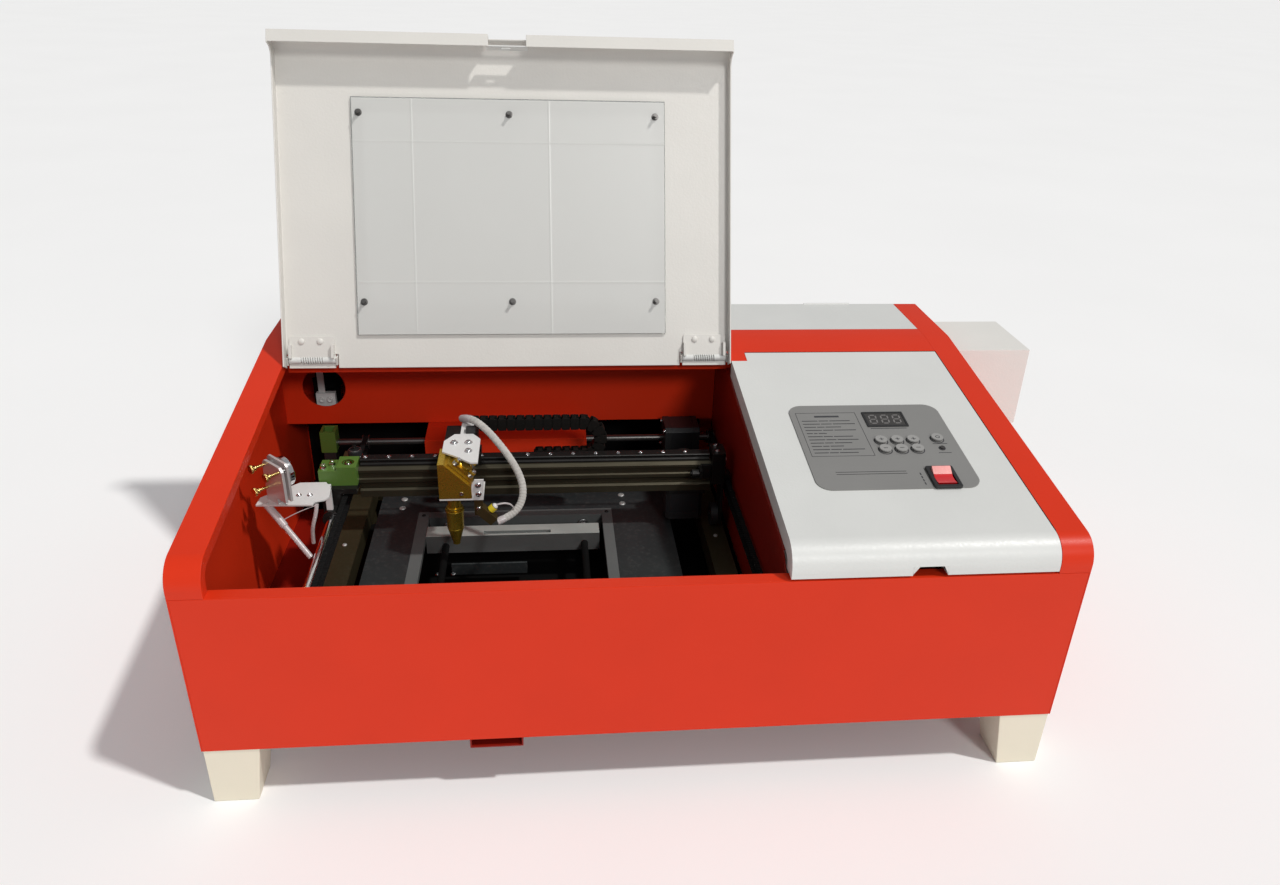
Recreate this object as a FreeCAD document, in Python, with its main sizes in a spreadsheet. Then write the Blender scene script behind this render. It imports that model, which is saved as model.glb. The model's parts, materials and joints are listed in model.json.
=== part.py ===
import FreeCAD, Part
import math
import os
import re

# Desktop laser engraver: sheet-metal casing on four feet, sloping lids, a
# gantry that carries a mirror head over a clamping bed, and a laser tube in
# a compartment along the back.  Millimetres, Z up, X along the front, Y to
# the back.  Pieces are laid out from the casing's front left corner at floor
# level and moved to the part's own origin at the end.

Vector = FreeCAD.Vector
Rotation = FreeCAD.Rotation
Placement = FreeCAD.Placement

doc = FreeCAD.newDocument("LaserEngraver")

# ---------------------------------------------------------------- sizes

SIZES = {
    # casing
    "casing_width": 800.0,
    "casing_depth": 500.0,
    "casing_top": 311.0,
    "foot_height": 63.0,
    "sheet": 1.5,
    "border": 30.0,
    "slope_start": 258.4,
    "bend_depth": 382.0,
    "front_radius": 25.0,
    "ledge_height": 229.5,
    "lid_rear": 344.5,
    "divider_left": 522.5,
    "bulkhead_front": 412.0,
    "tube_floor_height": 190.0,
    "cover_front": 406.6,
    "extension_end": 910.0,
    # the part's origin, measured from the front left corner at floor level
    "origin_right": 455.0,
    "origin_back": 262.5,
    # laser tube and beam
    "beam_height": 234.0,
    "beam_left": 50.0,
    "beam_front": 214.0,
    "tube_back": 455.0,
    "tube_radius": 25.0,
    # motion stage
    "rod_left": 85.0,
    "rod_height": 165.0,
    "rod_radius": 5.0,
    "bearing_gap": 0.06,
    "shaft_back": 385.0,
    "shaft_height": 178.0,
    "shaft_radius": 4.0,
    "idler_front": 45.0,
    "pulley_radius": 5.7,
    "belt_inner": 5.8,
    "belt_outer": 7.2,
    "rail_top": 124.0,
    "beam_front_face": 259.0,
    "beam_rear_face": 279.0,
    "beam_bottom": 174.0,
    "beam_top": 210.0,
    "x_belt_back": 287.5,
    "x_idler_left": 104.0,
    "x_pulley_left": 470.0,
    "roller_radius": 13.2,
    # bed
    "bed_top": 125.0,
    "bed_sheet": 3.0,
    "jaw_rod_radius": 4.0,
    "jaw_rod_height": 114.0,
    # lids
    "hinge_back": 336.0,
    "hinge_height": 304.0,
    "lid_left": 31.0,
    "lid_right": 523.0,
    "lid_skirt": 14.0,
    "lid_open_angle": 119.7,
    "control_left": 524.5,
    "control_right": 769.6,
    # fan
    "fan_centre": 266.0,
    "fan_height": 138.0,
    "fan_bore": 43.0,
}

sheet = doc.addObject("Spreadsheet::Sheet", "Dims")
for row, (alias, value) in enumerate(SIZES.items(), 1):
    sheet.set("A%d" % row, alias)
    sheet.set("B%d" % row, str(value))
    sheet.setAlias("B%d" % row, alias)
doc.recompute()


def size(alias):
    """Value of one cell of the sheet."""
    return float(sheet.get(alias))


def bind(obj, prop, expression):
    """Bind a property to an expression written with the sheet's aliases."""
    text = re.sub(r"[a-z][a-z_]+", lambda word: "Dims." + word.group(0), str(expression))
    obj.setExpression(prop, text)


SLOPE = math.atan2(size("casing_top") - size("slope_start"), size("bend_depth"))
SLOPE_DEG = math.degrees(SLOPE)

# ---------------------------------------------------------------- helpers


def block(x, y, z):
    """Box between three (from, to) pairs of expressions."""
    box = doc.addObject("Part::Box", "Block")
    for length, axis, (start, end) in zip(("Length", "Width", "Height"), "xyz", (x, y, z)):
        bind(box, length, "(%s) - (%s)" % (end, start))
        bind(box, ".Placement.Base." + axis, start)
    return box


AXIS_TURN = {
    "X": Rotation(Vector(0, 1, 0), 90),
    "Y": Rotation(Vector(1, 0, 0), -90),
    "Z": Rotation(),
}


def bar(axis, span, first, second, radius):
    """Round bar along an axis; first and second are its other coordinates."""
    cylinder = doc.addObject("Part::Cylinder", "Bar")
    cylinder.Placement = Placement(Vector(), AXIS_TURN[axis])
    start, end = span
    places = {"X": (start, first, second), "Y": (first, start, second), "Z": (first, second, start)}
    bind(cylinder, "Radius", radius)
    bind(cylinder, "Height", "(%s) - (%s)" % (end, start))
    for letter, value in zip("xyz", places[axis]):
        bind(cylinder, ".Placement.Base." + letter, value)
    return cylinder


def slanted_bar(start, end, radius):
    """Round bar between two points."""
    line = Vector(*end) - Vector(*start)
    cylinder = doc.addObject("Part::Cylinder", "SlantedBar")
    cylinder.Radius = radius
    cylinder.Height = line.Length
    cylinder.Placement = Placement(Vector(*start), Rotation(Vector(0, 0, 1), line))
    return cylinder


def turned_block(centre, lengths, axis, angle):
    """Box about its centre, turned about an axis through that centre."""
    box = doc.addObject("Part::Box", "TurnedBlock")
    box.Length, box.Width, box.Height = lengths
    turn = Rotation(Vector(*axis), angle)
    box.Placement = Placement(Vector(*centre) - turn.multVec(Vector(*lengths) * 0.5), turn)
    return box


def cut(base, *tools):
    """Base with the tools taken away."""
    result = doc.addObject("Part::Cut", "Cut")
    result.Base = base
    result.Tool = tools[0] if len(tools) == 1 else fuse(*tools)
    return result


def fuse(*pieces):
    """Pieces joined into one solid."""
    result = doc.addObject("Part::MultiFuse", "Fuse")
    result.Shapes = list(pieces)
    return result


def common(first, second):
    """What two pieces share."""
    result = doc.addObject("Part::Common", "Common")
    result.Base = first
    result.Tool = second
    return result


def outline(plane, path, span):
    """Closed sketch on an origin plane, padded between two expressions.

    A path item is a point, or a (mid point, end point) pair for an arc.
    """
    body = doc.addObject("PartDesign::Body", "Outline")
    sketch = body.newObject("Sketcher::SketchObject", "Profile")
    origin_plane = [f for f in body.Origin.OriginFeatures if f.Role == plane + "_Plane"][0]
    sketch.AttachmentSupport = [(origin_plane, "")]
    sketch.MapMode = "FlatFace"
    here = Vector(*path[0], 0)
    first = here
    for item in path[1:] + [path[0]]:
        if isinstance(item[0], tuple):
            middle = Vector(*item[0], 0)
            there = Vector(*item[1], 0)
            sketch.addGeometry(Part.Arc(here, middle, there), False)
        else:
            there = Vector(*item, 0)
            if (there - here).Length > 1e-7:
                sketch.addGeometry(Part.LineSegment(here, there), False)
        here = there
    assert (here - first).Length < 1e-7
    pad = body.newObject("PartDesign::Pad", "Pad")
    pad.Profile = sketch
    start, end = span
    bind(pad, "Length", "(%s) - (%s)" % (end, start))
    axis = {"YZ": "x", "XZ": "y", "XY": "z"}[plane]
    # a pad on the XZ plane grows towards -Y
    bind(body, ".Placement.Base." + axis, end if plane == "XZ" else start)
    return body


NODES = []
ORIGIN = Vector(-size("origin_right"), -size("origin_back"), 0)
LID_TURN = Placement(
    Vector(),
    Rotation(Vector(1, 0, 0), -size("lid_open_angle")),
    Vector(0, size("hinge_back"), size("hinge_height")),
)
# the slope's own frame: X along the casing, Y up the slope, Z out of it
ON_SLOPE = Placement(Vector(0, 0, size("slope_start")), Rotation(Vector(1, 0, 0), SLOPE_DEG))


def node(name, *pieces, place=Placement()):
    """One named sub-part, moved to the part's origin."""
    group = doc.addObject("Part::Compound", name)
    group.Label = name
    group.Links = list(pieces)
    group.Placement = Placement(ORIGIN, Rotation()).multiply(place)
    NODES.append(group)


# ---------------------------------------------------------------- casing skin


def skin_side(depth, rear, low):
    """Outline of the casing's skin at a depth below it, front bottom to rear."""
    radius = size("front_radius")
    start = size("slope_start")
    centre = start + radius * math.tan(SLOPE) - radius / math.cos(SLOPE)
    inner = radius - depth
    middle = math.radians(180) - (math.radians(90) - SLOPE) / 2

    def on_arc(angle):
        return (radius + inner * math.cos(angle), centre + inner * math.sin(angle))

    end = on_arc(math.radians(90) + SLOPE)
    path = [(depth, low), (depth, centre), (on_arc(middle), end)]
    drop = depth / math.cos(SLOPE)
    bend = (size("casing_top") - depth + drop - start) / math.tan(SLOPE)
    if rear > bend:
        path += [(bend, size("casing_top") - depth), (rear, size("casing_top") - depth)]
    else:
        path += [(rear, start + rear * math.tan(SLOPE) - drop)]
    return path


def reverse_path(path):
    """Same path walked from its end."""
    ends = [item[1] if isinstance(item[0], tuple) else item for item in path]
    middles = [item[0] if isinstance(item[0], tuple) else None for item in path]
    result = [ends[-1]]
    for index in range(len(path) - 1, 0, -1):
        before = ends[index - 1]
        result.append((middles[index], before) if middles[index] else before)
    return result


def skin(outer, inner, rear, low, span):
    """Band of the casing's skin between two depths."""
    path = skin_side(outer, rear, low) + reverse_path(skin_side(inner, rear, low))
    return outline("YZ", path, span)


def deck(y, depth=0.0):
    """Height of the sloping deck, or of a line at a depth below it."""
    return size("slope_start") + y * math.tan(SLOPE) - depth / math.cos(SLOPE)


WALL = size("sheet")
REAR = size("casing_depth")
TOP = size("casing_top")
LEDGE = size("ledge_height")

# base pan with cooling slots under the electronics, and the small open
# channel that hangs below the front edge
pan = block(("sheet", "casing_width - sheet"), ("sheet", "casing_depth - sheet"),
            ("foot_height", "foot_height + sheet"))
pan_slots = [block((560 + 24 * i, 568 + 24 * i), (80, 180), ("foot_height - 1", "foot_height + 3"))
             for i in range(8)]
tab = cut(block((239, 288), (0, 18), (53, "foot_height")),
          block((240.5, 286.5), (-1, 16.5), (54.5, "foot_height + 1")))
node("base_pan", cut(pan, *pan_slots), tab)

# front wall with the ledge that the lids close on
front_path = [(0, 63), (0, LEDGE), (14, LEDGE), (14, LEDGE - 10), (12.5, LEDGE - 10),
              (12.5, LEDGE - WALL), (WALL, LEDGE - WALL), (WALL, 63)]
node("front_panel", outline("YZ", front_path, ("sheet", "casing_width - sheet")))

# side walls, each with its folded border and the border's return
side_path = skin_side(0, REAR, 63) + [(REAR, 63)]
left_side = fuse(
    outline("YZ", side_path, (0, "sheet")),
    skin(0, WALL, REAR, LEDGE, ("sheet", "border")),
    skin(WALL, 11.5, 345, LEDGE, ("border - sheet", "border")),
)
node("side_panel_left", left_side)
right_wall = cut(
    outline("YZ", side_path, ("casing_width - sheet", "casing_width")),
    block(("casing_width - 5", "casing_width + 5"), (416, 484), (195, 285)),
)
right_side = fuse(
    right_wall,
    skin(0, WALL, REAR, LEDGE, ("casing_width - border", "casing_width - sheet")),
    skin(WALL, 11.5, 345, LEDGE, ("casing_width - border", "casing_width - border + sheet")),
)
node("side_panel_right", right_side)

rear_wall = block(("sheet", "casing_width - sheet"), ("casing_depth - sheet", "casing_depth"),
                  ("foot_height", "casing_top - sheet"))
rear_holes = [
    bar("Y", ("casing_depth - 5", "casing_depth + 5"), "fan_centre", "fan_height", "fan_bore"),
    block((640, 668), (490, 510), (90, 112)),
    bar("Y", (490, 510), 700, 110, 6),
    bar("Y", (490, 510), 730, 110, 6),
]
node("rear_panel", cut(rear_wall, *rear_holes))

# fixed deck behind the lids: lip down to the opening, a bend, and a step that
# carries the tube cover; hinge ears and pins stand on its lip
deck_path = [
    (345, deck(345) - 20), (345, deck(345)), (382, TOP), (406.2, TOP), (406.2, 309.2),
    (424, 309.2), (424, 307.7), (404.7, 307.7), (404.7, TOP - WALL), (382.1, TOP - WALL),
    (346.5, deck(346.5, WALL)), (346.5, deck(345) - 20),
]
corner_path = [(326.6, deck(326.6)), (346, deck(346)), (346, deck(346, WALL)), (326.6, deck(326.6, WALL))]
deck_pieces = [
    outline("YZ", deck_path, ("border", "casing_width - border")),
    outline("YZ", corner_path, (524.2, 542.4)),
]
for left, right in ((33, 87), (467, 521)):
    for ear in (left, right - 1.5):
        deck_pieces.append(block((ear, ear + 1.5), ("hinge_back - 4", 345.5),
                                 ("hinge_height - 4", "hinge_height + 4")))
    deck_pieces.append(bar("X", (left, right), "hinge_back", "hinge_height", 1.5))
node("rear_deck", fuse(*deck_pieces))

# wall and floor of the tube compartment; the beam leaves through the hole
node("tube_bulkhead", cut(
    block(("sheet", "casing_width - sheet"), ("bulkhead_front", "bulkhead_front + sheet"),
          ("tube_floor_height", 307.7)),
    bar("Y", ("bulkhead_front - 5", "bulkhead_front + 5"), "beam_left", 238, 25),
))
node("tube_floor", cut(
    block(("sheet", "casing_width - sheet"), ("bulkhead_front + sheet", "casing_depth - sheet"),
          ("tube_floor_height", "tube_floor_height + sheet")),
    bar("Z", ("tube_floor_height - 5", "tube_floor_height + 5"), 700, 460, 9),
    bar("Z", ("tube_floor_height - 5", "tube_floor_height + 5"), 730, 460, 9),
))

# wall between the work cabin and the electronics bay, with a flange turned
# under the control lid
divider_path = [(14.3, 64.5), (14.3, LEDGE), (30, deck(30) - 20), (345, deck(345) - 20),
                (412, deck(345) - 20), (412, 64.5)]
flange_path = [(30, deck(30) - 20), (345, deck(345) - 20), (345, deck(345) - 18.5), (30, deck(30) - 18.5)]
divider = cut(
    outline("YZ", divider_path, ("divider_left", "divider_left + sheet")),
    bar("X", ("divider_left - 5", "divider_left + 5"), 330, 100, 15),
)
node("cabin_divider", fuse(divider, outline("YZ", flange_path, (522.5, 532.5))))


def foot(left, front, outward_x, outward_y):
    """Foot with upright outer faces, tapering inwards to the floor."""
    across = [(0, 0), (0, 63), (50, 63), (41, 0)]
    x_path = [((left + 50 - p) if outward_x < 0 else (left + p), z) for p, z in across]
    y_path = [((front + 50 - p) if outward_y < 0 else (front + p), z) for p, z in across]
    return common(outline("XZ", x_path, (front, front + 50)),
                  outline("YZ", y_path, (left, left + 50)))


node("feet", foot(1, 1, 1, 1), foot(749, 1, -1, 1), foot(1, 449, 1, -1), foot(749, 449, -1, -1))

node("tube_extension", cut(
    block(("casing_width", "extension_end"), (387, 489), (190, 290)),
    block(("casing_width - 1", "extension_end - sheet"), (388.5, 487.5), (191.5, 288.5)),
))

# ---------------------------------------------------------------- laser tube

jacket = cut(bar("X", (92, 868), "tube_back", "beam_height", "tube_radius"),
             bar("X", (96, 864), "tube_back", "beam_height", "tube_radius - 3"))
core = bar("X", (96, 864), "tube_back", "beam_height", 7)
output_end = bar("X", (74, 92), "tube_back", "beam_height", 11)
mirror_end = bar("X", (868, 888), "tube_back", "beam_height", 11)
node("laser_tube", jacket, core, output_end, mirror_end)


def saddle(left):
    """Saddle and strap that hold the tube."""
    return cut(block((left, left + 16), (422, 488), ("tube_floor_height + sheet", 264)),
               bar("X", (left - 1, left + 17), "tube_back", "beam_height", "tube_radius + 0.2"))


mirror_one = [
    block((28, 72), (432, 480), ("tube_floor_height + sheet", 194.5)),
    turned_block((41.5, 463.5, 214), (36, 3, 39), (0, 0, 1), 45),
    turned_block((46, 459, 234), (34, 5, 34), (0, 0, 1), 45),
]
mirror_disc = slanted_bar((47.8, 457.2, 234), (52.4, 452.6, 234), 14)
node("tube_mounts", saddle(200), saddle(640), fuse(*mirror_one), mirror_disc)

# ---------------------------------------------------------------- exhaust

hood_path = [(362, 172.5), (362, 189.6), (400, 189.6), (400, 184.5), (363.5, 184.5), (363.5, 172.5)]
hood_inner = [(363.5, 171), (363.5, 188.1), (401, 188.1), (401, 171)]
hood = cut(outline("YZ", hood_path, (170, 362)), outline("YZ", hood_inner, (171.5, 360.5)))
duct = cut(block((170, 362), (400.1, "casing_depth - sheet"), (88, 189.6)),
           block((171.5, 360.5), (399, "casing_depth"), (89.5, 188.1)))
node("exhaust_duct", hood, duct)

fan_plate = cut(
    block(("fan_centre - 46", "fan_centre + 46"), ("casing_depth", "casing_depth + 25"),
          ("fan_height - 46", "fan_height + 46")),
    bar("Y", ("casing_depth - 1", "casing_depth + 26"), "fan_centre", "fan_height", "fan_bore"),
)
fan_arms = [
    bar("Y", ("casing_depth + 18", "casing_depth + 25"), "fan_centre", "fan_height", 16),
    block(("fan_centre - 45", "fan_centre + 45"), ("casing_depth + 21", "casing_depth + 25"),
          ("fan_height - 3", "fan_height + 3")),
    block(("fan_centre - 3", "fan_centre + 3"), ("casing_depth + 21", "casing_depth + 25"),
          ("fan_height - 45", "fan_height + 45")),
]
node("fan_frame", fuse(fan_plate, *fan_arms))

blades = [bar("Y", ("casing_depth + 3", "casing_depth + 17.5"), "fan_centre", "fan_height", 17)]
for index in range(7):
    angle = index * 360.0 / 7
    blade = doc.addObject("Part::Box", "Blade")
    blade.Length = 25
    blade.Width = 2
    blade.Height = 18
    hub_centre = Vector(size("fan_centre"), REAR + 10, size("fan_height"))
    spin = Placement(hub_centre, Rotation(Vector(0, 1, 0), angle))
    pitch = Placement(Vector(16, 0, 0), Rotation(Vector(1, 0, 0), 50))
    blade.Placement = spin.multiply(pitch).multiply(Placement(Vector(0, -1, -9), Rotation()))
    blades.append(blade)
node("fan_impeller", fuse(*blades))

# ---------------------------------------------------------------- stage frame


def leg(x, y):
    """Leg from the base pan to the frame."""
    return bar("Z", (64.5, 100), x, y, 8)


stage = [
    block((80, 106), (36, 398), (100, "rail_top")),
    block((492, 516), (36, 398), (100, "rail_top")),
    block((106, 492), (38, 56), (100, 118)),
    block((106, 492), (378, 396), (100, 118)),
]
stage += [leg(x, y) for x in (93, 504) for y in (48, 386)]
rod_ends = [cut(block((76, 94), (y, y + 14), ("rail_top", "rod_height + 11")),
                bar("Y", (y - 1, y + 15), "rod_left", "rod_height", "rod_radius"))
            for y in (36, 352)]
idler_posts = [
    block((102.5, 106), (38, 52), ("rail_top", "shaft_height + 10")),
    bar("X", (94, 102.5), "idler_front", "shaft_height", 2),
    block((508, 512.5), (38, 52), ("rail_top", "shaft_height + 10")),
    bar("X", (512.5, 521), "idler_front", "shaft_height", 2),
]
node("stage_frame", *stage, *rod_ends, fuse(*idler_posts[:2]), fuse(*idler_posts[2:]))
node("y_rod", bar("Y", (36, 366), "rod_left", "rod_height", "rod_radius"))

shaft_block = cut(
    block((47, 65), (373, 393), (170, 197)),
    block((50, 62), (376, 390), (187, 198)),
    bar("X", (46, 66), "shaft_back", "shaft_height", "shaft_radius + bearing_gap"),
)
node("shaft_block", shaft_block, block((49, 63), (375, 391), (64.5, 170)))


def flanged_pulley(axis, start, first, second):
    """Belt pulley with two thin flanges."""
    return [
        bar(axis, (start, start + 6), first, second, "pulley_radius"),
        bar(axis, (start - 1, start), first, second, 8.2),
        bar(axis, (start + 6, start + 7), first, second, 8.2),
    ]


node("y_shaft", fuse(
    bar("X", (46.5, 521.2), "shaft_back", "shaft_height", "shaft_radius"),
    *flanged_pulley("X", 95, "shaft_back", "shaft_height"),
    *flanged_pulley("X", 514, "shaft_back", "shaft_height"),
))
motor_bore = bar("X", (450, 510), "shaft_back", "shaft_height", "shaft_radius + bearing_gap")
motor_case = fuse(block((458, 500), (364, 406), (157, 199)), block((455, 458), (366, 404), (118, 199)))
node("y_motor", cut(motor_case, motor_bore))


def loop(plane, near, far, across, radius, span):
    """Closed belt path's outer or inner outline, round two pulleys."""
    return outline(plane, [
        (near, across - radius), (far, across - radius),
        ((far + radius, across), (far, across + radius)), (near, across + radius),
        ((near - radius, across), (near, across - radius)),
    ], span)


def belt(plane, near, far, across, span):
    """Belt round two pulleys."""
    return cut(loop(plane, near, far, across, size("belt_outer"), span),
               loop(plane, near, far, across, size("belt_inner"), span))


FRONT_IDLER = size("idler_front")
BACK_SHAFT = size("shaft_back")
SHAFT_Z = size("shaft_height")
node("y_belts",
     belt("YZ", FRONT_IDLER, BACK_SHAFT, SHAFT_Z, (95.2, 100.8)),
     belt("YZ", FRONT_IDLER, BACK_SHAFT, SHAFT_Z, (514.2, 519.8)))
node("y_idlers", *[
    cut(bar("X", (left, left + 6), "idler_front", "shaft_height", "pulley_radius"),
        bar("X", (left - 1, left + 7), "idler_front", "shaft_height", 2.06))
    for left in (95, 514)
])

# ---------------------------------------------------------------- bed

bed_window = block((165, 389), (100, 306), (110, 130))
BED_SCREWS = [(x, y) for x in (145, 403) for y in (80, 316, 336)]
node("bed_plate", cut(
    block((119, 456), (60, 350), ("bed_top - bed_sheet", "bed_top")),
    bed_window,
    *[bar("Z", (120, 126), x, y, 3.6) for x, y in BED_SCREWS],
))
bed_strips = [
    block((165, 178), (100, 306), ("bed_top - 7", "bed_top")),
    block((377, 389), (100, 306), ("bed_top - 7", "bed_top")),
    block((178, 377), (293, 306), (104, "bed_top")),
    block((178, 377), (100, 112), (104, "bed_top + 2")),
]
jaw_rods = [bar("Y", (112, 293), x, "jaw_rod_height", "jaw_rod_radius") for x in (200, 355)]
bed_legs = [bar("Z", (64.5, "bed_top - bed_sheet"), x, y, 6) for x in (130, 445) for y in (80, 332)]
bed_screws = [bar("Z", ("bed_top - bed_sheet", "bed_top"), x, y, 3.5) for x, y in BED_SCREWS]
node("bed_frame", *bed_strips, *jaw_rods, *bed_legs, *bed_screws)

jaw = cut(
    block((178.5, 372), (249, 270), (105, "bed_top + 2")),
    block((242, 317), (252, 258), (120, 130)),
    *[bar("Y", (248, 271), x, "jaw_rod_height", "jaw_rod_radius + bearing_gap") for x in (200, 355)],
)
node("clamp_jaw", jaw)

# ---------------------------------------------------------------- gantry

beam_grooves = [
    block((110, 498), ("beam_front_face - 1", "beam_front_face + 5"), (184, 190)),
    block((110, 498), ("beam_front_face - 1", "beam_front_face + 2"), (197, 204)),
]
beam = cut(block((111, 497), ("beam_front_face", "beam_rear_face"), ("beam_bottom", "beam_top")),
           *beam_grooves)
rail = block((113, 495), (263.5, 275.5), ("beam_top", "beam_top + 8"))
rail_screws = [bar("Z", ("beam_top + 8", "beam_top + 8.4"), 118 + 25 * i, 269.5, 2.6) for i in range(15)]
node("gantry_beam", beam, fuse(rail, *rail_screws))

green_block = cut(
    fuse(block((71, 90), (250, 276), (194, 212)), block((90, 111), (250, 276), (194, 216))),
    bar("Z", (212, 217), 101, 262, 6),
)
block_screws = [bar("Z", (212, 217), x, y, 3) for x, y in ((76, 256), (84, 264))]
node("left_carriage", green_block, *block_screws, bar("Z", (212, 215.5), 101, 262, 4))

housing = fuse(
    block((74, 94.4), (242, 276), (153, 188)),
    bar("Y", (228, 278), "rod_left", "rod_height", 9.5),
    bar("Y", (228, 231), "rod_left", "rod_height", 10.2),
    block((72, 111), (242, 296), (188, 194)),
    block((95.6, 100.4), (256, 268), (185.6, 188)),
)
idler_axle = bar("Z", (194, 223), "x_idler_left", "x_belt_back", 2)
node("rod_bearing", fuse(
    cut(housing, bar("Y", (220, 290), "rod_left", "rod_height", "rod_radius + bearing_gap")),
    idler_axle,
))

node("right_bracket", fuse(
    block((497, 509), (254, 282), (184, 222)),
    block((509, 512), (256, 280), (130, 222)),
    block((512, 520), (262, 274), (185.7, 192)),
    bar("X", (499, 510), 268, 137.6, 2.5),
))
node("support_roller", cut(
    bar("X", (500.4, 508.4), 268, 137.6, "roller_radius"),
    bar("X", (500, 509), 268, 137.6, 2.56),
))

# mirror on the gantry's left end, at 45 degrees to both beam runs
plate_path = [(17, 203), (74, 201), (75, 208), (84, 211), (88, 217), (86, 236), (79, 248), (52, 248), (18, 218)]
node("mirror_bracket", fuse(
    outline("XY", plate_path, (198, 200)),
    block((74, 84), (242, 247), (194, 198)),
    block((80, 86.5), (231.2, 235), (175, 198)),
    slanted_bar((26, 208, 198.5), (72, 176, 152), 3.4),
))


def mirror_point(along, out, height):
    """Point in the mirror's own frame: along its face and out of it."""
    half = math.sqrt(0.5)
    return (size("beam_left") + (along + out) * half,
            size("beam_front") + (out - along) * half, height)


back_plate = turned_block(mirror_point(0, -14.5, 227.5), (35, 3, 39), (0, 0, 1), -45)
mirror_foot = turned_block(mirror_point(-8, -14.5, 204), (19, 3, 8), (0, 0, 1), -45)
front_plate = turned_block(mirror_point(0, -8.5, 229), (35, 3, 42), (0, 0, 1), -45)
ring = slanted_bar(mirror_point(0, -7, 234), mirror_point(0, 0, 234), 16)
thumb_screws = []
for along, height in ((-13, 242), (13, 242), (-13, 216)):
    thumb_screws.append(slanted_bar(mirror_point(along, -32, height), mirror_point(along, -10, height), 1.5))
    thumb_screws.append(slanted_bar(mirror_point(along, -32, height), mirror_point(along, -27, height), 4.5))
node("gantry_mirror", fuse(back_plate, mirror_foot, front_plate, ring, *thumb_screws))

node("x_motor", fuse(
    block(("x_pulley_left - 21", "x_pulley_left + 21"), ("x_belt_back - 21", "x_belt_back + 21"), (132, 170)),
    cut(block((449, 491), (259, 306), (170, 174)),
        bar("Z", (169, 175), "x_pulley_left", "x_belt_back", 11)),
))
X_NEAR = size("x_idler_left")
X_FAR = size("x_pulley_left")
node("x_belt", belt("XY", X_NEAR, X_FAR, size("x_belt_back"), (202.2, 207.8)))
node("x_idler", cut(
    fuse(*flanged_pulley("Z", 202, "x_idler_left", "x_belt_back"),
         bar("Z", (209, 219), "x_idler_left", "x_belt_back", 6.5)),
    bar("Z", (200, 224), "x_idler_left", "x_belt_back", 2.06),
))
node("x_pulley", fuse(
    *flanged_pulley("Z", 202, "x_pulley_left", "x_belt_back"),
    bar("Z", (170.3, 209), "x_pulley_left", "x_belt_back", 2.5),
))

# ---------------------------------------------------------------- head

HEAD_X = 216.0
runner = cut(
    block((203, 243), (259.5, 279.5), (211.5, 226)),
    block((202, 244), (263.2, 275.8), (211, 218.8)),
)
node("head_carriage", fuse(
    runner,
    block((206, 240), (232, 287), (226, 246)),
    block((214, 232), (282.6, 287), (198, 226)),
))

hex_path = [(206, 222), (206, 246), (216, 262), (236, 262), (244, 250), (244, 197), (236, 197), (221, 211)]
side_path_head = [(236.4, 206), (248, 206), (249, 228), (239.5, 228), (236.4, 222)]
node("head_plates",
     fuse(outline("XY", hex_path, (246, 248)), block((222, 235), (261, 292), (246, 248))),
     cut(fuse(block((203, 248), (196, 232), (204, 206)), outline("XZ", side_path_head, (196, 198))),
         bar("Z", (203, 207), HEAD_X, "beam_front", 4.5)))

head_path = [(203, 206), (236, 206), (236, 219), (209, 246), (203, 246)]
head_body = cut(
    outline("XZ", head_path, (196, 232)),
    bar("X", (202, 219), "beam_front", "beam_height", 9),
    bar("Z", (205, 234), HEAD_X, "beam_front", 9),
)
tilted_plate = turned_block((223.6, 214, 233.6), (31, 30, 3), (0, 1, 0), 45)
mirror_holder = turned_block((226.2, 214, 236.2), (23, 26, 4), (0, 1, 0), 45)
adjusters = [slanted_bar((225 + a, y, 236 - a), (230.5 + a, y, 241.5 - a), 2.2)
             for a, y in ((-6, 203), (8, 203), (8, 225))]

nozzle_outer = [
    (0, 204), (7, 204), (7, 187), (8.2, 187), (8.2, 185.5), (7, 185.5), (7, 184), (9.7, 184),
    (9.7, 181.5), (9.3, 181), (8.7, 161), (3.9, 143), (3.9, 141), (1.4, 141), (1.4, 143),
    (4.5, 158), (4.5, 204),
]
nozzle_body = doc.addObject("PartDesign::Body", "NozzleBody")
nozzle_sketch = nozzle_body.newObject("Sketcher::SketchObject", "NozzleProfile")
nozzle_plane = [f for f in nozzle_body.Origin.OriginFeatures if f.Role == "XZ_Plane"][0]
nozzle_sketch.AttachmentSupport = [(nozzle_plane, "")]
nozzle_sketch.MapMode = "FlatFace"
ring_points = [Vector(r, z, 0) for r, z in nozzle_outer[1:]]
for here, there in zip(ring_points, ring_points[1:] + ring_points[:1]):
    nozzle_sketch.addGeometry(Part.LineSegment(here, there), False)
revolution = nozzle_body.newObject("PartDesign::Revolution", "Turned")
revolution.Profile = nozzle_sketch
revolution.ReferenceAxis = (nozzle_sketch, ["V_Axis"])
revolution.Angle = 360
nozzle_body.Placement = Placement(Vector(HEAD_X, size("beam_front"), 0), Rotation())
node("laser_head", fuse(head_body, tilted_plate, mirror_holder, *adjusters), nozzle_body)

pointer_block = turned_block((250, 202, 184), (10, 11, 22), (0, 1, 0), -45)
pointer_tube = slanted_bar((250, 202, 184), (259, 202, 193), 4)
node("pointer", fuse(pointer_block, pointer_tube, block((238, 247), (199, 205), (184, 204))))

# hose to the nozzle: straight runs joined by tangent arcs


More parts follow.
